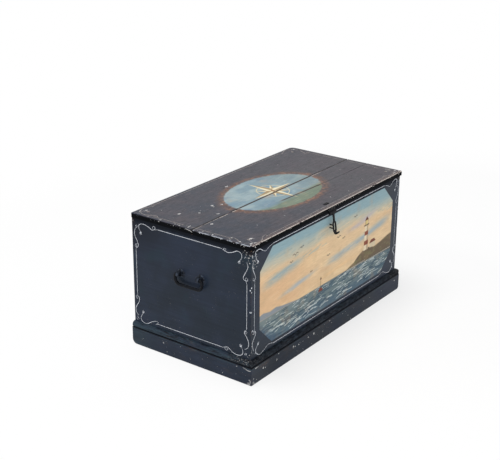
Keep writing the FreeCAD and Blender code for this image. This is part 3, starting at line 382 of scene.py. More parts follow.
def painted_lid():
    """Lid boards: paint above and on the edges, bare pine beneath."""
    g = Graph("paint_lid")
    colour, rough, height = lid_state(g)
    beneath = (g.z.fall(LID_UNDER + 0.3, LID_UNDER + 0.8) * abs(g.x).fall(LID_HALF - 3, LID_HALF - 2)
               * g.y.step(LID_FRONT + 2, LID_FRONT + 3) * g.y.fall(HALF_DEPTH - 3, HALF_DEPTH - 2))
    return g.finish(colour.to(pine(g, "x")[0], beneath), rough + beneath * 0.3, height, gloss=0.11)


def bare_pine():
    """Bare wood for what is inside or beneath."""
    g = Graph("pine_deep")
    return g.finish(*pine(g, "y"), 0.25)


def forged_iron(name, dark, light, rust):
    """Dark forged iron, blackened or painted over, with some rust."""
    g = Graph(name)
    patch = g.noise(9, 4, 0.6)
    colour = g.mix(patch.step(0.42, 0.66), dark, light)
    colour = colour.to(RUST, g.noise(5, 4, 0.65).step(0.62, 0.74) * rust)
    height = patch + g.noise(1.3, 3, 0.6) * 0.35
    return g.finish(colour, patch.step(0.3, 0.7, 0.40, 0.62), height, metal=0.15)


# ---- meshes from lists
def new_object(name, data):
    """An object in the scene."""
    made = bpy.data.objects.new(name, data)
    bpy.context.scene.collection.objects.link(made)
    return made


def mesh_piece(name, points, faces, body, material, colours=None):
    """A mesh from points in mm, riding on a body, with the given material."""
    data = bpy.data.meshes.new(name)
    data.from_pydata([tuple(c * MM for c in p) for p in points], [], faces)
    data.update()
    if colours is not None:
        layer = data.color_attributes.new("paint", "FLOAT_COLOR", "POINT")
        layer.data.foreach_set("color", np.asarray(colours, np.float32).ravel())
    made = new_object(name, data)
    data.materials.append(material)
    slot = "lid_paint" if body == "lid" else "painted_wood"
    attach(made, body)


def end_face(x):
    """Place (u, z) on an end: u runs from the back to the front."""
    return lambda u, v: (x, -u, v)


def front_face(y):
    """Place (x, z) on a front."""
    return lambda u, v: (u, y, v)


def top_face(z):
    """Place (x, y) on a top."""
    return lambda u, v: (u, v, z)


def smooth_path(points):
    """Points along a smooth curve through the given ones, each with its width."""
    out, steps = [], 7
    padded = [points[0], *points, points[-1]]
    for four in zip(padded, padded[1:], padded[2:], padded[3:]):
        for k in range(steps):
            t = k / steps
            out.append(tuple(
                0.5 * (2 * b + (c - a) * t + (2 * a - 5 * b + 4 * c - d) * t * t
                       + (3 * b - a - 3 * c + d) * t ** 3)
                for a, b, c, d in zip(*four)))
    out.append(tuple(points[-1]))
    return out


class Strokes:
    """Flat brush strokes on one face, gathered into one mesh."""

    def __init__(self, place, flip=False):
        self.place, self.flip = place, flip
        self.points, self.faces = [], []

    def line(self, points):
        """A stroke through (u, v, width) points."""
        path = smooth_path(points) if len(points) > 2 else points
        start = len(self.points)
        for (u, v, width), ahead, behind in zip(path, path[1:] + path[-1:], path[:1] + path):
            du, dv = ahead[0] - behind[0], ahead[1] - behind[1]
            size = math.hypot(du, dv) or 1
            nu, nv = -dv / size * width / 2, du / size * width / 2
            self.points += [self.place(u + nu, v + nv), self.place(u - nu, v - nv)]
        for a in range(start, len(self.points) - 2, 2):
            self.add((a, a + 1, a + 3, a + 2))

    def add(self, face):
        """One face, turned to look outward."""
        self.faces.append(face[::-1] if self.flip else face)

    def dot(self, u, v, radius, stretch=1, turn=0, sides=12, rag=0, rng=None):
        """A filled dot or a ragged flake."""
        start = len(self.points)
        for i in range(sides):
            angle = 2 * math.pi * i / sides
            reach = radius * (1 + (rng.uniform(-rag, rag) if rng else 0))
            a, b = reach * math.cos(angle) * stretch, reach * math.sin(angle)
            self.points.append(self.place(u + a * math.cos(turn) - b * math.sin(turn),
                                          v + a * math.sin(turn) + b * math.cos(turn)))
        self.add(tuple(range(start, start + sides))[::-1])

    def piece(self, name, body, material):
        """Make the mesh of all strokes."""
        mesh_piece(name, self.points, self.faces, body, material)


# ---- lining
def lining_material(name, state_of, worn, strength=1, tints=(LINING, LINING_DULL)):
    """Pale lining paint that has rubbed through to the ground in places."""
    g = Graph(name)
    colour, rough, height = state_of(g)
    gaps = g.noise(16) * 0.6 + g.noise(3.5, 3, 0.6) * 0.4
    kept = gaps.step(worn - 0.06, worn + 0.03, 0, strength)
    colour = colour.to(g.mix(g.noise(8).step(0.45, 0.7), *tints), kept)
    return g.finish(colour, rough + 0.12, height, 0.2)


# Each corner's hook, leaf, dashes and dot, as offsets inward from where the two lines would meet.
CORNERS = {
    "back_top": (
        [(22, 24), (16, 15), (14, 5), (22, -3), (38, -5), (57, 0), (70, 6), (80, 2), (84, -5), (78, -8),
         (73, -3), (77, 4), (88, 1), (96, 0)],
        [(9, 9), (0, 16), (-4, 28), (-4, 40), (4, 55), (10, 71), (6, 80), (-2, 80), (-3, 73), (3, 70),
         (2, 80), (0, 88)],
        [(6, 3, 9, 10), (1, 6, 4, 12)], (22, 27)),
    "back_bottom": (
        [(23, 23), (17, 14), (12, 2), (16, -7), (27, -12), (39, -11), (50, -5), (63, 3), (76, 8), (86, 8),
         (84, 1), (76, -2), (88, 0), (98, 0)],
        [(2, 9), (-6, 17), (-9, 29), (-5, 42), (4, 55), (8, 67), (5, 77), (-3, 79), (-6, 72), (0, 69),
         (0, 84), (0, 92)],
        [(-3, 5, 3, -5), (-7, -3, -3, -10)], (23, 25)),
    "front_bottom": (
        [(22, 24), (16, 16), (14, 6), (18, -3), (32, -9), (52, -6), (67, 4), (77, 6), (84, 0), (78, -6),
         (72, -1), (80, 4), (92, 0), (100, 0)],
        [(7, 18), (-5, 28), (-8, 43), (-3, 58), (8, 74), (6, 82), (-1, 80), (1, 73), (5, 79), (0, 90)],
        [(7, 0, 4, 8), (2, 0, -1, 8)], (22, 26)),
    "front_top": (
        [(29, 24), (20, 12), (23, -2), (37, -6), (52, 1), (70, 7), (84, 4), (88, -2), (80, -3), (82, 5),
         (92, 1), (100, 0)],
        [(1, 20), (-3, 38), (7, 59), (14, 75), (7, 82), (-3, 80), (0, 72), (6, 76), (0, 92)],
        [(6, 5, 10, 12)], (29, 27)),
    "panel_top": (
        [(16, 34), (9, 26), (5, 15), (3, 4), (11, -3), (27, -2), (41, 7), (55, 13), (66, 8), (82, 3),
         (98, 0)],
        [(2, 24), (-7, 30), (-10, 42), (-8, 55), (0, 72), (4, 84), (-1, 91), (-8, 88), (-6, 82), (0, 92),
         (0, 104)],
        [(4, 4, 9, 11)], (16, 36)),
    "panel_bottom": (
        [(21, 29), (12, 22), (8, 12), (12, 1), (26, -9), (40, -8), (56, -2), (73, 6), (90, 4), (104, 0)],
        [(-2, 14), (-6, 24), (-9, 42), (-2, 56), (6, 66), (7, 76), (1, 80), (-4, 74), (1, 72), (1, 86),
         (0, 98)],
        [(5, 1, 9, 8)], (21, 30)),
}
END_SCROLLS = ("back_top", "back_bottom", "front_bottom", "front_top")
FRONT_SCROLLS = ("panel_top", "panel_bottom", "panel_bottom", "panel_top")
# left, right, low and high lines of each lining
END_LINES, FRONT_LINES, LID_LINES = (-222, 222, 92, 424), (-432, 432, 91, 433), (-437, 432, -226, 224)
WHISKERS = ((-4.8, 5), (0.5, 7.4), (5, 4.5))  # where short strokes from a scroll's knob end


def pinstripes(strokes, lines, names, width=1.25):
    """A lining of four straight runs with a scroll at each corner."""
    left, right, low, high = lines
    corner_signs = ((left, high, 1, -1), (left, low, 1, 1), (right, low, -1, 1), (right, high, -1, -1))
    ends = []
    for name, (cu, cv, su, sv) in zip(names, corner_signs):
        hook, leaf, dashes, dot = CORNERS[name]
        for points in (hook, leaf):
            path = []
            for i, (a, b) in enumerate(points):
                swell = width * (0.65 + 0.65 * math.sin(math.pi * min(1, i / len(points) * 1.6)))
                path.append((cu + su * a, cv + sv * b, swell))
            strokes.line(path)
        u, v = cu + su * dot[0], cv + sv * dot[1]
        strokes.dot(u, v, width * 2.7, 1.25, 0.7)
        for a, b in WHISKERS:
            strokes.line([(u, v, width * 1.5), (u + su * a, v + sv * b, width * 0.5)])
        for a, b, c, d in dashes:
            strokes.line([(cu + su * a, cv + sv * b, width * 1.3), (cu + su * c, cv + sv * d, width * 0.5)])
        ends.append(((cu + su * hook[-1][0], cv), (cu, cv + sv * leaf[-1][1])))
    # runs from corner to corner: level ones join the hooks, upright ones the leaves
    for first, second, part, swell in ((0, 3, 0, 1.25), (1, 2, 0, 1.2), (0, 1, 1, 1), (3, 2, 1, 1)):
        strokes.line([(*ends[corner][part], width * swell) for corner in (first, second)])


def build_lining():
    """Lining on both ends, on the front and, nearly rubbed off, on the lid."""
    carcass_lining = lining_material("lining_carcass", carcass_state, 0.31)
    for name, side in (("left", -1), ("right", 1)):
        strokes = Strokes(end_face(side * (HALF_LENGTH + LINING_OFF)), flip=side < 0)
        pinstripes(strokes, END_LINES, END_SCROLLS)
        for height in (314, 241):
            strokes.dot(HALF_DEPTH - 2.6, height, 2.4)
        strokes.piece(f"lining_{name}", "chest", carcass_lining)
    strokes = Strokes(front_face(-HALF_DEPTH - LINING_OFF))
    pinstripes(strokes, FRONT_LINES, FRONT_SCROLLS)
    for inward in (1, -1):
        u = inward * (2.6 - HALF_LENGTH)
        for height, radius in ((322, 2.6), (307, 2), (241, 2.2)):
            strokes.dot(u, height, radius)
        strokes.line([(u, 428, 2.2), (u + inward * 5, 417, 1.2)])
        strokes.line([(u + inward, 172, 1.6), (u + inward * 6, 178, 1.8), (u + inward * 11, 171, 1.4)])
    strokes.piece("lining_front", "chest", carcass_lining)
    strokes = Strokes(top_face(LID_TOP + LINING_OFF))
    pinstripes(strokes, LID_LINES, END_SCROLLS, 1.7)
    strokes.piece("lining_lid", "lid", lining_material("lining_lid", lid_state, 0.44, 0.55, LID_TINTS))
    strokes = Strokes(top_face(LID_TOP + LONG_LINING_OFF))
    for v, width in ((-226, 1.5), (224, 1.1)):
        strokes.line([(-345, v, width), (345, v, width)])
    material = lining_material("lining_lid_long", lid_state, 0.44, 0.5, LID_TINTS)
    strokes.piece("lining_lid_long", "lid", material)


# ---- painted pictures
def value_noise(rng, u, v, layers=4):
    """Smooth noise from 0 to 1; one unit of u and v is one feature."""
    total, weight, size = np.zeros_like(u), 0, 1
    for _ in range(layers):
        lattice = rng.random((64, 64))
        a, b = u * size + rng.random() * 64, v * size + rng.random() * 64
        i, j = np.floor(a).astype(int), np.floor(b).astype(int)
        s, t = smooth(a - i, 0, 1), smooth(b - j, 0, 1)
        row, next_row = (lattice[i % 64, k % 64] * (1 - s) + lattice[(i + 1) % 64, k % 64] * s
                         for k in (j, j + 1))
        total += (row * (1 - t) + next_row * t) / size
        weight += 1 / size
        size *= 2
    return total / weight


def smooth(value, low, high):
    """A smooth step for arrays."""
    t = np.clip((value - low) / (high - low), 0, 1)
    return t * t * (3 - 2 * t)


def fade(value, low, high):
    """A smooth step down for arrays."""
    return 1 - smooth(value, low, high)


def off_line(u, v, start, end):
    """How far places lie from a straight stretch."""
    (a, b), (c, d) = start, end
    du, dv = c - a, d - b
    along = np.clip(((u - a) * du + (v - b) * dv) / (du * du + dv * dv + 1e-9), 0, 1)
    return np.hypot(u - a - along * du, v - b - along * dv)


class Canvas:
    """A picture painted at the vertices of a sheet; colours are mixed as they are written."""

    def __init__(self, u, v, ground):
        self.u, self.v = u, v
        self.ink = np.tile(np.array(ground) / 255, (*u.shape, 1))

    def wash(self, colour, share, part=...):
        """Lay a colour over the picture, or a part of it, where share is above 0."""
        self.ink[part] += share[..., None] * (np.array(colour) / 255 - self.ink[part])

    def stroke(self, points, width, colour, strength=1, soft=0.5):
        """A brush stroke along a polyline."""
        for (a, b), (c, d) in zip(points, points[1:]):
            pad = width + 2
            near = ((self.u > min(a, c) - pad) & (self.u < max(a, c) + pad)
                    & (self.v > min(b, d) - pad) & (self.v < max(b, d) + pad))
            off = off_line(self.u[near], self.v[near], (a, b), (c, d))
            self.wash(colour, strength * fade(off, width / 2 * (1 - soft), width / 2 * (1 + soft)), near)

    def shape(self, corners, colour, strength=1, soft=0.8):
        """A filled outline with a soft edge."""
        inside, near = np.zeros(self.u.shape, bool), np.full(self.u.shape, 1e9)
        for (a, b), (c, d) in zip(corners, corners[1:] + corners[:1]):
            crossing = (b > self.v) != (d > self.v)
            at = (c - a) * (self.v - b) / ((d - b) or 1e-9) + a
            inside ^= crossing & (self.u < at)
            near = np.minimum(near, off_line(self.u, self.v, (a, b), (c, d)))
        self.wash(colour, strength * fade(np.where(inside, -near, near), -soft, soft))

    def colours(self):
        """The vertex colours, in linear light."""
        return np.dstack([linear(np.clip(self.ink, 0, 1)), np.ones(self.u.shape)])


IRON_DARK = (64, 50, 44)


def seascape(canvas):
    """Generic coast at sunset: banded sky, swell, low hills, a headland with a lighthouse, a buoy, gulls."""
    u, v = canvas.u, canvas.v
    wash, shape, stroke = canvas.wash, canvas.shape, canvas.stroke
    rng = np.random.default_rng(7)
    drift = value_noise(rng, u / 210, v / 46)
    tuft = value_noise(rng, u / 90, v / 20)
    # sky: blue above, warm below, bands of cloud and short brush marks
    wash((142, 170, 178), smooth(v + (drift - 0.5) * 60, 352, 392))
    wash((166, 184, 182), 0.6 * smooth(v + (tuft - 0.5) * 40, 330, 366) * fade(v, 372, 400))
    wash((238, 209, 166), 0.8 * smooth(tuft, 0.5, 0.7) * fade(v, 330, 380))
    wash((206, 166, 130), 0.5 * smooth(drift, 0.52, 0.72) * fade(v, 300, 360))
    wash((222, 180, 138), 0.7 * fade(u, -300, 0) * fade(v, 300, 370))
    for middle, lean, thick, low, high, colour in (
        (352, 0.12, 15, -420, -130, (140, 170, 182)),
        (262, 0.11, 12, -60, 420, (150, 172, 186)),
        (272, 0.12, 8, -330, -60, (166, 180, 190)),
        (322, 0.13, 9, 60, 330, (190, 182, 188)),
        (222, 0.05, 7, -120, 210, (232, 196, 150)),
    ):
        level = middle + lean * u + (drift - 0.5) * 26
        share = np.exp(-((v - level) / thick) ** 2) * smooth(u, low, low + 110) * fade(u, high - 110, high)
        wash(colour, 0.85 * share)
    for _ in range(260):
        a, b = rng.uniform(-410, 410), rng.uniform(HORIZON + 4, PANEL_HIGH)
        length, tint = rng.uniform(18, 60), rng.uniform(-14, 14)
        base = (226, 195, 155) if b < 350 + 30 * math.sin(a / 90) else (140, 168, 176)
        end = (a + length, b + length * rng.uniform(0.04, 0.2))
        stroke([(a, b), end], rng.uniform(2, 5), [c + tint for c in base], 0.32)
    # far hills on the left
    hills = [(-420, HORIZON), (-420, 208), (-386, 214), (-350, 207), (-318, 211), (-282, 203), (-240, 198),
             (-196, HORIZON)]
    shape(hills, (122, 138, 152), 0.85, 2)
    # sea: tones of the swell, then crests and troughs
    wash((104, 122, 126), fade(v, HORIZON - 2, HORIZON + 1))
    swell = value_noise(rng, u / 70, v / 9)
    sea = fade(v, HORIZON - 3, HORIZON)
    wash((66, 90, 106), sea * smooth(swell, 0.48, 0.68) * 0.8)
    wash((128, 148, 152), sea * smooth(swell, 0.62, 0.8) * 0.5)
    wash((74, 100, 122), sea * 0.5 * fade(v, PANEL_LOW, PANEL_LOW + 46))
    glitter = sea * 0.5 * smooth(swell, 0.4, 0.6) * fade(u, -330, 0) * smooth(v, 126, 158)
    wash((150, 156, 148), glitter)
    wash((54, 76, 98), 0.6 * fade(u + v * 1.4, -240, -150) * sea)
    for _ in range(300):
        b = PANEL_LOW + (HORIZON - PANEL_LOW - 4) * rng.random() ** 0.8
        far = (b - PANEL_LOW) / (HORIZON - PANEL_LOW)
        a, length = rng.uniform(-410, 400), rng.uniform(16, 78) * (1.15 - 0.75 * far)
        lift = length * rng.uniform(-0.02, 0.2)
        pale = rng.random() < 0.48
        colour = (220, 226, 222) if pale else (50, 74, 92)
        crest = [(a, b), (a + length * 0.3, b + lift * 0.1 + length * 0.05), (a + length * 0.7, b + lift),
                 (a + length, b + lift * 0.8)]
        stroke(crest, rng.uniform(1.4, 3 if pale else 5) * (1.1 - 0.5 * far), colour, 0.8)
    wash((62, 86, 108), 0.72 * fade(u * 0.7 + v, -130, -85) * sea)
    # headland with grass and surf
    land = [(96, HORIZON - 2), (128, 199), (150, 204), (176, 219), (206, 229), (246, 231), (284, 221),
            (330, 226), (380, 236), (425, 240), (425, 176), (330, 180), (240, 184), (150, 187)]
    shape(land, (98, 84, 66), 0.95, 1.5)
    ridge = value_noise(rng, u / 16, v / 9, 3)
    on_land = (v > 188) & (v < 240) & (u > 110)
    earthy = smooth(canvas.ink[..., 2] * -255, -90, -70)
    wash((126, 122, 84), 0.6 * on_land * smooth(ridge, 0.5, 0.66) * earthy)
    for k in range(26):
        a = 104 + k * 12.5
        drop = 6 * (a > 220)
        stroke([(a, 187 - drop), (a + 9, 190 - drop)], 3.2, (206, 208, 200), 0.75)
    # lighthouse: tower, shaded side, bands, gallery, lantern and roof
    foot, top, taper = 226, 318, 5
    shape([(212, foot), (242, foot), (237, top), (217, top)], (232, 216, 186), 1, 1)
    shape([(230, foot), (242, foot), (237, top), (229, top)], (176, 150, 122), 0.75, 2)
    for low, high in ((246, 262), (282, 297)):
        a, b = ((level - foot) / (top - foot) * taper for level in (low, high))
        shape([(212 + a, low), (242 - a, low), (242 - b, high), (212 + b, high)], (132, 66, 48), 0.95)
    shape([(211, 318), (243, 318), (243, 322), (211, 322)], IRON_DARK)
    shape([(219, 322), (235, 322), (235, 338), (219, 338)], (238, 214, 148))
    for a in (219, 227, 235):
        stroke([(a, 322), (a, 338)], 1.8, IRON_DARK, 0.9, 0.3)
    shape([(215, 338), (239, 338), (227, 352)], (96, 52, 42))
    # keeper's house and its roof
    shape([(254, 226), (292, 224), (292, 242), (254, 242)], (214, 198, 168))
    shape([(250, 242), (296, 242), (284, 254), (262, 254)], (116, 62, 46))
    # buoy: staff, float and top mark
    stroke([(-60, 176), (-60, 214)], 2.2, (70, 52, 44), 0.95, 0.3)
    shape([(-74, 172), (-46, 172), (-53, 184), (-67, 184)], (120, 58, 44))
    shape([(-66, 214), (-54, 214), (-60, 224)], (84, 56, 46))
    # gulls
    for a, b, size in ((-214, 352, 15), (-178, 366, 11), (-236, 334, 9), (44, 330, 12), (76, 318, 8),
                       (-18, 286, 9), (-120, 262, 7), (150, 372, 11)):
        wing = [(a - size, b + size * 0.28), (a - size * 0.45, b + size * 0.42), (a, b),
                (a + size * 0.45, b + size * 0.5), (a + size, b + size * 0.3)]
        stroke(wing, 2.3, (88, 78, 74), 0.9, 0.4)


def compass(canvas):
    """Oval for the lid: blue ground, green water towards the front, a plain eight-point star."""
    u, v, wash = canvas.u, canvas.v, canvas.wash
    rng = np.random.default_rng(11)
    cloud = value_noise(rng, u / 80, v / 34)
    wash((144, 162, 166), smooth(cloud, 0.45, 0.7))
    wash((102, 128, 148), 0.6 * smooth(value_noise(rng, u / 60, v / 26, 3), 0.5, 0.75))
    wash((118, 132, 132), 0.5 * smooth(u, 20, 150))
    wash((104, 116, 94), 0.8 * smooth(-v + (cloud - 0.5) * 30, 66, 100))
    for _ in range(130):
        a, b = rng.uniform(-240, 200), rng.uniform(-140, 140)
        base = (150, 166, 170)
        if b < -78:
            base = (146, 156, 132) if rng.random() < 0.5 else (80, 98, 86)
        end = (a + rng.uniform(14, 44), b + rng.uniform(-3, 3))
        canvas.stroke([(a, b), end], rng.uniform(2, 4), base, 0.4)
    mid_u, mid_v = OVAL_X + 4, OVAL_Y + 6
    from_middle = np.hypot(u - mid_u, v - mid_v)
    wash((206, 196, 164), 0.8 * fade(np.abs(from_middle - 56), 1.2, 2.6))
    for k, reach, waist in [(k, 62, 15) for k in (1, 3, 5, 7)] + [(k, 106, 21) for k in (0, 2, 4, 6)]:
        angle = k * math.pi / 4
        tip = (mid_u + reach * math.cos(angle), mid_v + reach * math.sin(angle))
        for side, colour in ((1, (226, 216, 184)), (-1, (158, 134, 98))):
            bend = angle + side * math.pi / 4
            hip = (mid_u + waist * math.cos(bend), mid_v + waist * math.sin(bend))
            canvas.shape([(mid_u, mid_v), hip, tip], colour, 0.95, 1)
    wash((150, 110, 74), 0.9 * fade(from_middle, 6, 8))
    # dirt along the joint and the open split
    wash((44, 38, 36), 0.75 * fade(np.abs(v - JOINT_MIDDLE - 1), 2.6, 5))
    split = lid_split()
    off_split = np.abs(v - (split(u, 1) + split(u, -1)) / 2)
    wash((44, 38, 36), 0.8 * fade(off_split, 2.2, 4.6) * smooth(u, -84, -50))


def picture_material(name, state_of, mask_of, scuff):
    """Old oil paint whose colours come from the sheet, laid over the paint around it."""
    g = Graph(name)
    colour, rough, height = state_of(g)
    ink = g.add("Attribute", attribute_name="paint")
    brush = g.noise((26, 26, 4), 4, 0.6)
    fine = g.noise(2.4, 3, 0.6)
    aged = ink.shaded((brush * 0.6 + fine * 0.4).step(0.3, 0.72, 0.9, 1.07))
    aged = aged.to(VARNISH, g.noise(60, 4).step(0.5, 0.75) * 0.3)
    aged = aged.to(colour, g.noise(5, 4, 0.7).step(scuff, scuff + 0.05) * 0.6)
    mask = mask_of(g)
    return g.finish(colour.to(aged, mask), rough + mask * 0.12, height + (brush + fine * 0.5) * mask)


def panel_mask(g):
    """Inside the front's eight-sided picture, with a hand-drawn edge."""
    middle, half = (PANEL_LOW + PANEL_HIGH) / 2, (PANEL_HIGH - PANEL_LOW) / 2
    across, up = abs(g.x), abs(g.z - middle)
    corner = (PANEL_HALF + half - PANEL_CUT - (across + up)) * 0.707  # the cuts run at 45 degrees
    inside = g.least(PANEL_HALF - across, half - up, corner)
    return (inside + (g.noise(9) - 0.5) * 2.4).step(0, 1.4)


def oval_mask(g):
    """Inside the lid's oval, with a soft worn edge."""
    return (oval_distance(g) + (g.noise(12, 4) - 0.5) * 12).fall(-4, 3.5)


def sheet(name, us, low, high, count, place, painter, ground, body, material):
    """A dense flat sheet: columns at us, each from low to high, painted at its vertices."""
    share = np.linspace(0, 1, count)
    u = np.repeat(us[:, None], count, 1)
    v = low[:, None] * (1 - share) + high[:, None] * share
    canvas = Canvas(u, v, ground)
    painter(canvas)
    points = [place(a, b) for a, b in zip(u.ravel(), v.ravel())]
    corners = [i * count + j for i in range(len(us) - 1) for j in range(count - 1)]
    faces = [(a, a + count, a + count + 1, a + 1) for a in corners]
    mesh_piece(name, points, faces, body, material, canvas.colours())


def build_pictures():
    """The front's picture on one sheet, and the lid's oval on a sheet for each part of it."""
    us = np.linspace(-PANEL_HALF - 2, PANEL_HALF + 2, 466)
    low, high = np.full_like(us, PANEL_LOW - 2), np.full_like(us, PANEL_HIGH + 2)
    material = picture_material("picture_front", carcass_state, panel_mask, 0.72)
    sheet("picture_front", us, low, high, 190, front_face(-HALF_DEPTH - PICTURE_OFF), seascape,
          (226, 196, 156), "chest", material)
    material = picture_material("picture_lid", lid_state, oval_mask, 0.66)
    split = lid_split()
    reach_x, reach_y = OVAL_HALF_X + 8, OVAL_HALF_Y + 8
    us = np.linspace(OVAL_X - reach_x, OVAL_X + reach_x, 300)
    chord = reach_y * np.sqrt(np.clip(1 - ((us - OVAL_X) / reach_x) ** 2, 0, 1))
    bands = (
        ("back", JOINT_BACK + 1.2, OVAL_Y + chord, 86),
        ("middle", split(us, 1), JOINT_FRONT - 1.2, 48),
        ("front", OVAL_Y - chord, split(us, -1), 44),
    )
    for name, low, high, count in bands:
        low, high = np.maximum(low, OVAL_Y - chord), np.minimum(high, OVAL_Y + chord)
        keep = high - low > 1
        sheet(f"picture_lid_{name}", us[keep], low[keep], high[keep], count,
              top_face(LID_TOP + PICTURE_OFF), compass, (122, 145, 155), "lid", material)


def lid_split():
    """The two lips of the open split in the front board, read from the board's own mesh."""
    top = [v.co / MM for v in nodes["lid_board_front"].data.vertices if abs(v.co.z / MM - LID_TOP) < 0.05]
    inner = sorted((p.x, p.y) for p in top if LID_FRONT + 60 < p.y < JOINT_FRONT - 30 and p.x < LID_HALF - 4)
    start = inner[0]
    bends = [p for p in inner if start[0] + 50 < p[0] < LID_HALF - 60]
    bend_x = sum(p[0] for p in bends) / len(bends)
    upper, lower = max(p[1] for p in bends), min(p[1] for p in bends)
    ends = [p for p in inner if p[0] > LID_HALF - 60] or [(LID_HALF, lower - 5)]
    end_x, end_y = ends[0][0], sum(p[1] for p in ends) / len(ends)

    def lip(us, side):
        bend_y = upper if side > 0 else lower
        tail = end_y + side * (upper - lower)
        v = np.interp(us, [start[0] - 400, start[0], bend_x, end_x], [start[1] + 10, start[1], bend_y, tail])
        return v + side * np.where(us > start[0], 0.25, 0)

    return lip


# ---- flaked paint
# Each sheet of flakes: its name, place, the scale of its flakes, limits of v, (u, v, size) spots, strips of
# flecks (count, u, v and size between limits) and strokes.
CHIPS = (
    ("lid_top", top_face(LID_TOP + LID_CHIP_OFF), 0.82, LID_FRONT + 4, HALF_DEPTH - 4,
     [(-68, 148, 5.5), (-247, 71, 5), (-252, 60, 2.5), (-370, 106, 4.5), (-324, 61, 4), (-308, 69, 2.2),
      (-295, 8, 5.5), (-379, -32, 4.5), (-379, 172, 2), (-405, -202, 5), (-300, -150, 1.6),
      (-180, -170, 1.8), (60, -190, 2.2), (150, -205, 1.8), (240, 150, 1.6), (330, -60, 1.8),
      (-432, -150, 3), (-443, -190, 3.4), (-434, -226, 4.2), (-424, -231, 3), (-446, -233, 3),
      (-447, -90, 2.6), (-445, -50, 2.2), (-447, 40, 2.4), (-447, 118, 3), (-446, 170, 2.4), (440, -222, 4),
      (418, -232, 3), (447, -233, 3.4), (-408, 210, 5), (-425, 222, 3), (432, 212, 4.5), (-218, 52, 4.5)],
     [(70, (-446, 444), (-236, -231), (0.5, 1.3)), (26, (-448, -443), (-225, 225), (0.5, 1.4)),
      (40, (-430, 430), (-205, 215), (0.4, 0.9))],
     [[(424, -188, 2.2), (431, -198, 3), (439, -208, 1.8)],
      [(-447.5, 7, 2.4), (-440, 9, 3), (-427, 11, 1.4)]]),
    ("lid_left", end_face(-LID_HALF - EDGE_CHIP_OFF), 0.6, LID_UNDER + 2, LID_TOP - 2.2,
     [(-58, 456, 2.2), (-118, 456, 2.2), (46, 456, 1.8), (128, 456, 2.4), (176, 455, 1.8), (204, 455, 2.6),
      (214, 453, 2.2)],
     [(22, (-215, 225), (454, 456), (0.4, 0.9))],
     [[(-12, 457.2, 1), (-2, 456.8, 1.9), (8, 454.4, 1.9), (17, 451.8, 1)]]),
    ("lid_front", front_face(LID_FRONT - EDGE_CHIP_OFF), 0.6, LID_UNDER + 2, LID_TOP - 3,
     [(-436, 452, 3.2), (-418, 455, 2.4), (-380, 454, 1.8), (-250, 455, 2), (-110, 455, 1.6),
      (70, 455, 1.8), (120, 453, 2.2), (250, 455, 1.8), (372, 455, 2.2), (430, 454, 2.6)],
     [(40, (-438, 445), (452, 455.5), (0.5, 1.2))], []),
    ("plinth_front", front_face(PLINTH_FRONT - EDGE_CHIP_OFF), 0.62, 4, 56,
     [(-404, 39, 4), (-392, 36, 2.4), (-330, 38, 2.6), (-236, 44, 4.6), (-226, 41, 3), (-206, 39, 3.4),
      (-150, 43, 3.2), (-117, 43, 4.6), (-110, 38, 2.4), (-60, 30, 1.8), (64, 46, 2), (205, 42, 2),
      (330, 36, 2.2), (425, 44, 3), (-456, 8, 3.4), (-449, 5, 3), (-440, 14, 2), (-454, 22, 2.6),
      (-180, 12, 1.8), (120, 8, 1.8), (-320, 54, 2), (-20, 53, 2.2)],
     [(46, (-430, 450), (8, 55), (0.4, 1.2))],
     [[(-448, 54.4, 0.9), (-440, 55.2, 2.6), (-430, 56.4, 1.2)],
      [(-461, 12, 1.4), (-457, 8, 2.6), (-452, 13, 1.2)]]),
    ("plinth_left", end_face(-PLINTH_HALF - EDGE_CHIP_OFF), 0.5, 4, 56,
     [(-101, 42, 3), (-87, 13, 2.2), (196, 53, 2.6), (244, 20, 3), (241, 8, 3.6), (236, 5, 2.4),
      (60, 34, 1.6), (-190, 30, 1.8), (140, 12, 1.8), (-30, 50, 1.6)],
     [(20, (-210, 235), (8, 55), (0.4, 1.2))],
     [[(220, 56.4, 0.8), (231, 53.4, 1.6), (241, 51.2, 2.6), (249.6, 52.4, 2)],
      [(247, 22, 1.2), (248, 14, 2.4), (246, 5, 2.8), (238, 3.4, 1.6)]]),
    ("carcass_left", end_face(-HALF_LENGTH - CHIP_OFF), 0.7, 82, 441,
     [(221, 434, 2.2), (228, 418, 2.6), (232, 402, 2), (226, 392, 1.6), (-232, 432, 1.8), (233, 426, 1.8),
      (214, 438, 1.6), (233, 96, 1.8), (226, 88, 2)],
     [(16, (205, 234), (385, 440), (0.5, 1.3))], []),
    ("carcass_front", front_face(-HALF_DEPTH - CHIP_OFF), 1, 82, 441, [],
     [(22, (-447, -418), (380, 440), (0.5, 1.5)), (10, (-447, -436), (84, 180), (0.5, 1.2)),
      (10, (425, 447), (395, 440), (0.5, 1.3))], []),
)


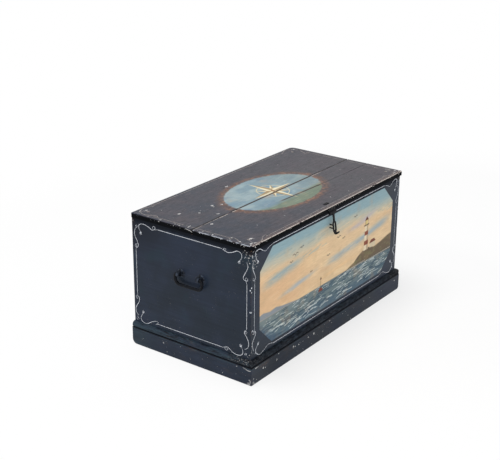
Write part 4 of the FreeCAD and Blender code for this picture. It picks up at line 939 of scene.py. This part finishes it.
def build_chips():
    """Flakes where they show most: the lid's top and its edges, the near corners, the plinth."""
    g = Graph("flaked_paint")
    material = g.finish(g.mix(g.noise(3.5).step(0.35, 0.62), CHIP, CHIP_DULL), 0.75, g.noise(1.2, 2), 0.1)
    rng = random.Random(5)
    for name, place, scale, low, high, spots, strips, lines in CHIPS:
        strokes = Strokes(place, flip=name.endswith("left"))
        for count, *limits in strips:
            spots = spots + [tuple(rng.uniform(*pair) for pair in limits) for _ in range(count)]
        # ragged flakes, each with up to three crumbs that stay within the limits
        for u, v, size in spots:
            size *= scale
            strokes.dot(u, v, size, rng.uniform(1, 1.9), rng.uniform(-0.5, 0.5), 11, 0.45, rng)
            for _ in range(rng.randint(0, 3)):
                a, b = u + rng.uniform(-2.6, 2.6) * size, v + rng.uniform(-1.8, 1.8) * size
                if low < b < high:
                    crumb, turn = size * rng.uniform(0.16, 0.36), rng.uniform(-0.5, 0.5)
                    strokes.dot(a, b, crumb, 1.4, turn, 7, 0.3, rng)
        for line in lines:
            strokes.line(line)
        strokes.piece(f"flakes_{name}", "lid" if name.startswith("lid") else "chest", material)


# ---- floor, light and camera; metres
FLOOR_SIZE, FLOOR_GREY = 60, (0.95, 0.95, 0.95, 1)
SHADE_SPOT = (0.27, -0.3, 0)  # the floor's shade is strongest here, in front of the chest
# How much of the floor is plain white to the camera: distances off that spot, then shares, in each row.
WHITE_PARTS = ((0.25, 0.85, 0.4, 0.88), (0.9, 2.2, 0.7, 1))
WORLD_LIGHT, WORLD_SEEN = 0.6, 1  # strength of the world as a light, and as the camera sees it
# name, place, size and watts of each lamp: one above, one left in front
LAMPS = (("key", (-0.45, 0.45, 3.4), 1.7, 54), ("fill", (-2.6, -3, 1.5), 2.4, 36))
LAMP_AIM = (0, 0, 0.2)
# The camera was fitted to the photograph's edges: azimuth, elevation and roll in degrees, lens in mm.
VIEW_ANGLES = (-53.81, 21.23, 0.43)
VIEW_LENS = 77.61
VIEW_SPOT = (-2.8271, -1.9710, 1.6527)


def seen_rays(tree):
    """1 for a ray from the camera, a mirror-like one or one through glass, and 0 for the rest."""
    rays = add_node(tree, "LightPath").outputs
    share = rays["Is Camera Ray"]
    for name in ("Is Glossy Ray", "Is Transmission Ray"):
        share = add_node(tree, "Math", (share, rays[name]), operation="MAXIMUM").outputs[0]
    return share


def build_floor():
    """Pale floor whose shade is toned down for the camera, least in front of the chest."""
    bpy.ops.mesh.primitive_plane_add(size=FLOOR_SIZE)
    floor = bpy.context.object
    floor.name = "floor"
    material = bpy.data.materials.new("floor")
    material.use_nodes = True
    tree = material.node_tree
    shader = tree.nodes["Principled BSDF"]
    for name, value in (("Base Color", FLOOR_GREY), ("Roughness", 0.9), ("Specular IOR Level", 0.1)):
        shader.inputs[name].default_value = value
    place = add_node(tree, "TexCoord").outputs["Object"]
    away = add_node(tree, "VectorMath", (place, SHADE_SPOT), operation="DISTANCE").outputs["Value"]
    parts = [add_node(tree, "MapRange", (away, *row), interpolation_type="SMOOTHSTEP").outputs[0]
             for row in WHITE_PARTS]
    share = add_node(tree, "Math", parts, operation="MAXIMUM").outputs[0]
    white = add_node(tree, "Math", (seen_rays(tree), share), operation="MULTIPLY").outputs[0]
    glow = add_node(tree, "Emission").outputs[0]
    blend = add_node(tree, "MixShader", (white, shader.outputs[0], glow))
    tree.links.new(blend.outputs[0], tree.nodes["Material Output"].inputs["Surface"])
    floor.data.materials.append(material)


def build_light():
    """Even light from all round and two large soft lamps that face the chest."""
    world = bpy.data.worlds.new("studio")
    bpy.context.scene.world = world
    world.use_nodes = True
    tree = world.node_tree
    tree.nodes.clear()
    shades = [add_node(tree, "Background", {"Color": (1, 1, 1, 1), "Strength": strength}).outputs[0]
              for strength in (WORLD_LIGHT, WORLD_SEEN)]
    mixed = add_node(tree, "MixShader", (seen_rays(tree), *shades))
    add_node(tree, "OutputWorld", [mixed.outputs[0]])
    for name, spot, size, power in LAMPS:
        lamp = bpy.data.lights.new(name, "AREA")
        lamp.shape = "DISK"
        lamp.size = size
        lamp.energy = power
        made = new_object(name, lamp)
        made.location = spot
        made.rotation_euler = (Vector(LAMP_AIM) - made.location).to_track_quat("-Z", "Y").to_euler()


def build_camera():
    """The photograph's view: from the left in front, a little above, through a long lens."""
    azimuth, elevation, roll = (math.radians(a) for a in VIEW_ANGLES)
    back = Vector((math.sin(azimuth) * math.cos(elevation), -math.cos(azimuth) * math.cos(elevation),
                   math.sin(elevation)))
    right = Vector((math.cos(azimuth), math.sin(azimuth), 0))
    up = back.cross(right)
    turned = math.cos(roll) * right + math.sin(roll) * up
    raised = -math.sin(roll) * right + math.cos(roll) * up
    data = bpy.data.cameras.new("camera")
    data.lens = VIEW_LENS
    data.clip_end = 100
    camera = new_object("camera", data)
    matrix = Matrix((turned, raised, back)).transposed().to_4x4()
    matrix.translation = Vector(VIEW_SPOT)
    camera.matrix_world = matrix
    bpy.context.scene.camera = camera


def dress(material, *prefixes):
    """Give a material to every CAD node whose name starts so."""
    for name, node in nodes.items():
        if name.startswith(prefixes):
            node.data.materials.clear()
            node.data.materials.append(material)


build_camera()
build_floor()
build_light()
dress(painted_carcass("x"), "carcass_front", "carcass_back", "bottom_board")
dress(painted_carcass("y"), "carcass_left", "carcass_right")
dress(painted_plinth(), "plinth")
dress(painted_lid(), "lid_board")
dress(bare_pine(), "till", "batten")
for name, dark, light, rust, prefixes in (
    ("iron", srgb(9, 11, 15), srgb(20, 21, 25), 0.35, ("hasp", "hinge", "staple", "rove")),
    ("iron_painted", srgb(7, 9, 15), srgb(16, 20, 28), 0.1, ("bail",)),
    ("iron_overpainted", srgb(22, 27, 36), srgb(60, 68, 82), 0.2, ("eye", "rose")),
):
    dress(forged_iron(name, dark, light, rust), *prefixes)
build_lining()
build_pictures()
build_chips()

bpy.context.scene.view_settings.view_transform = "Standard"
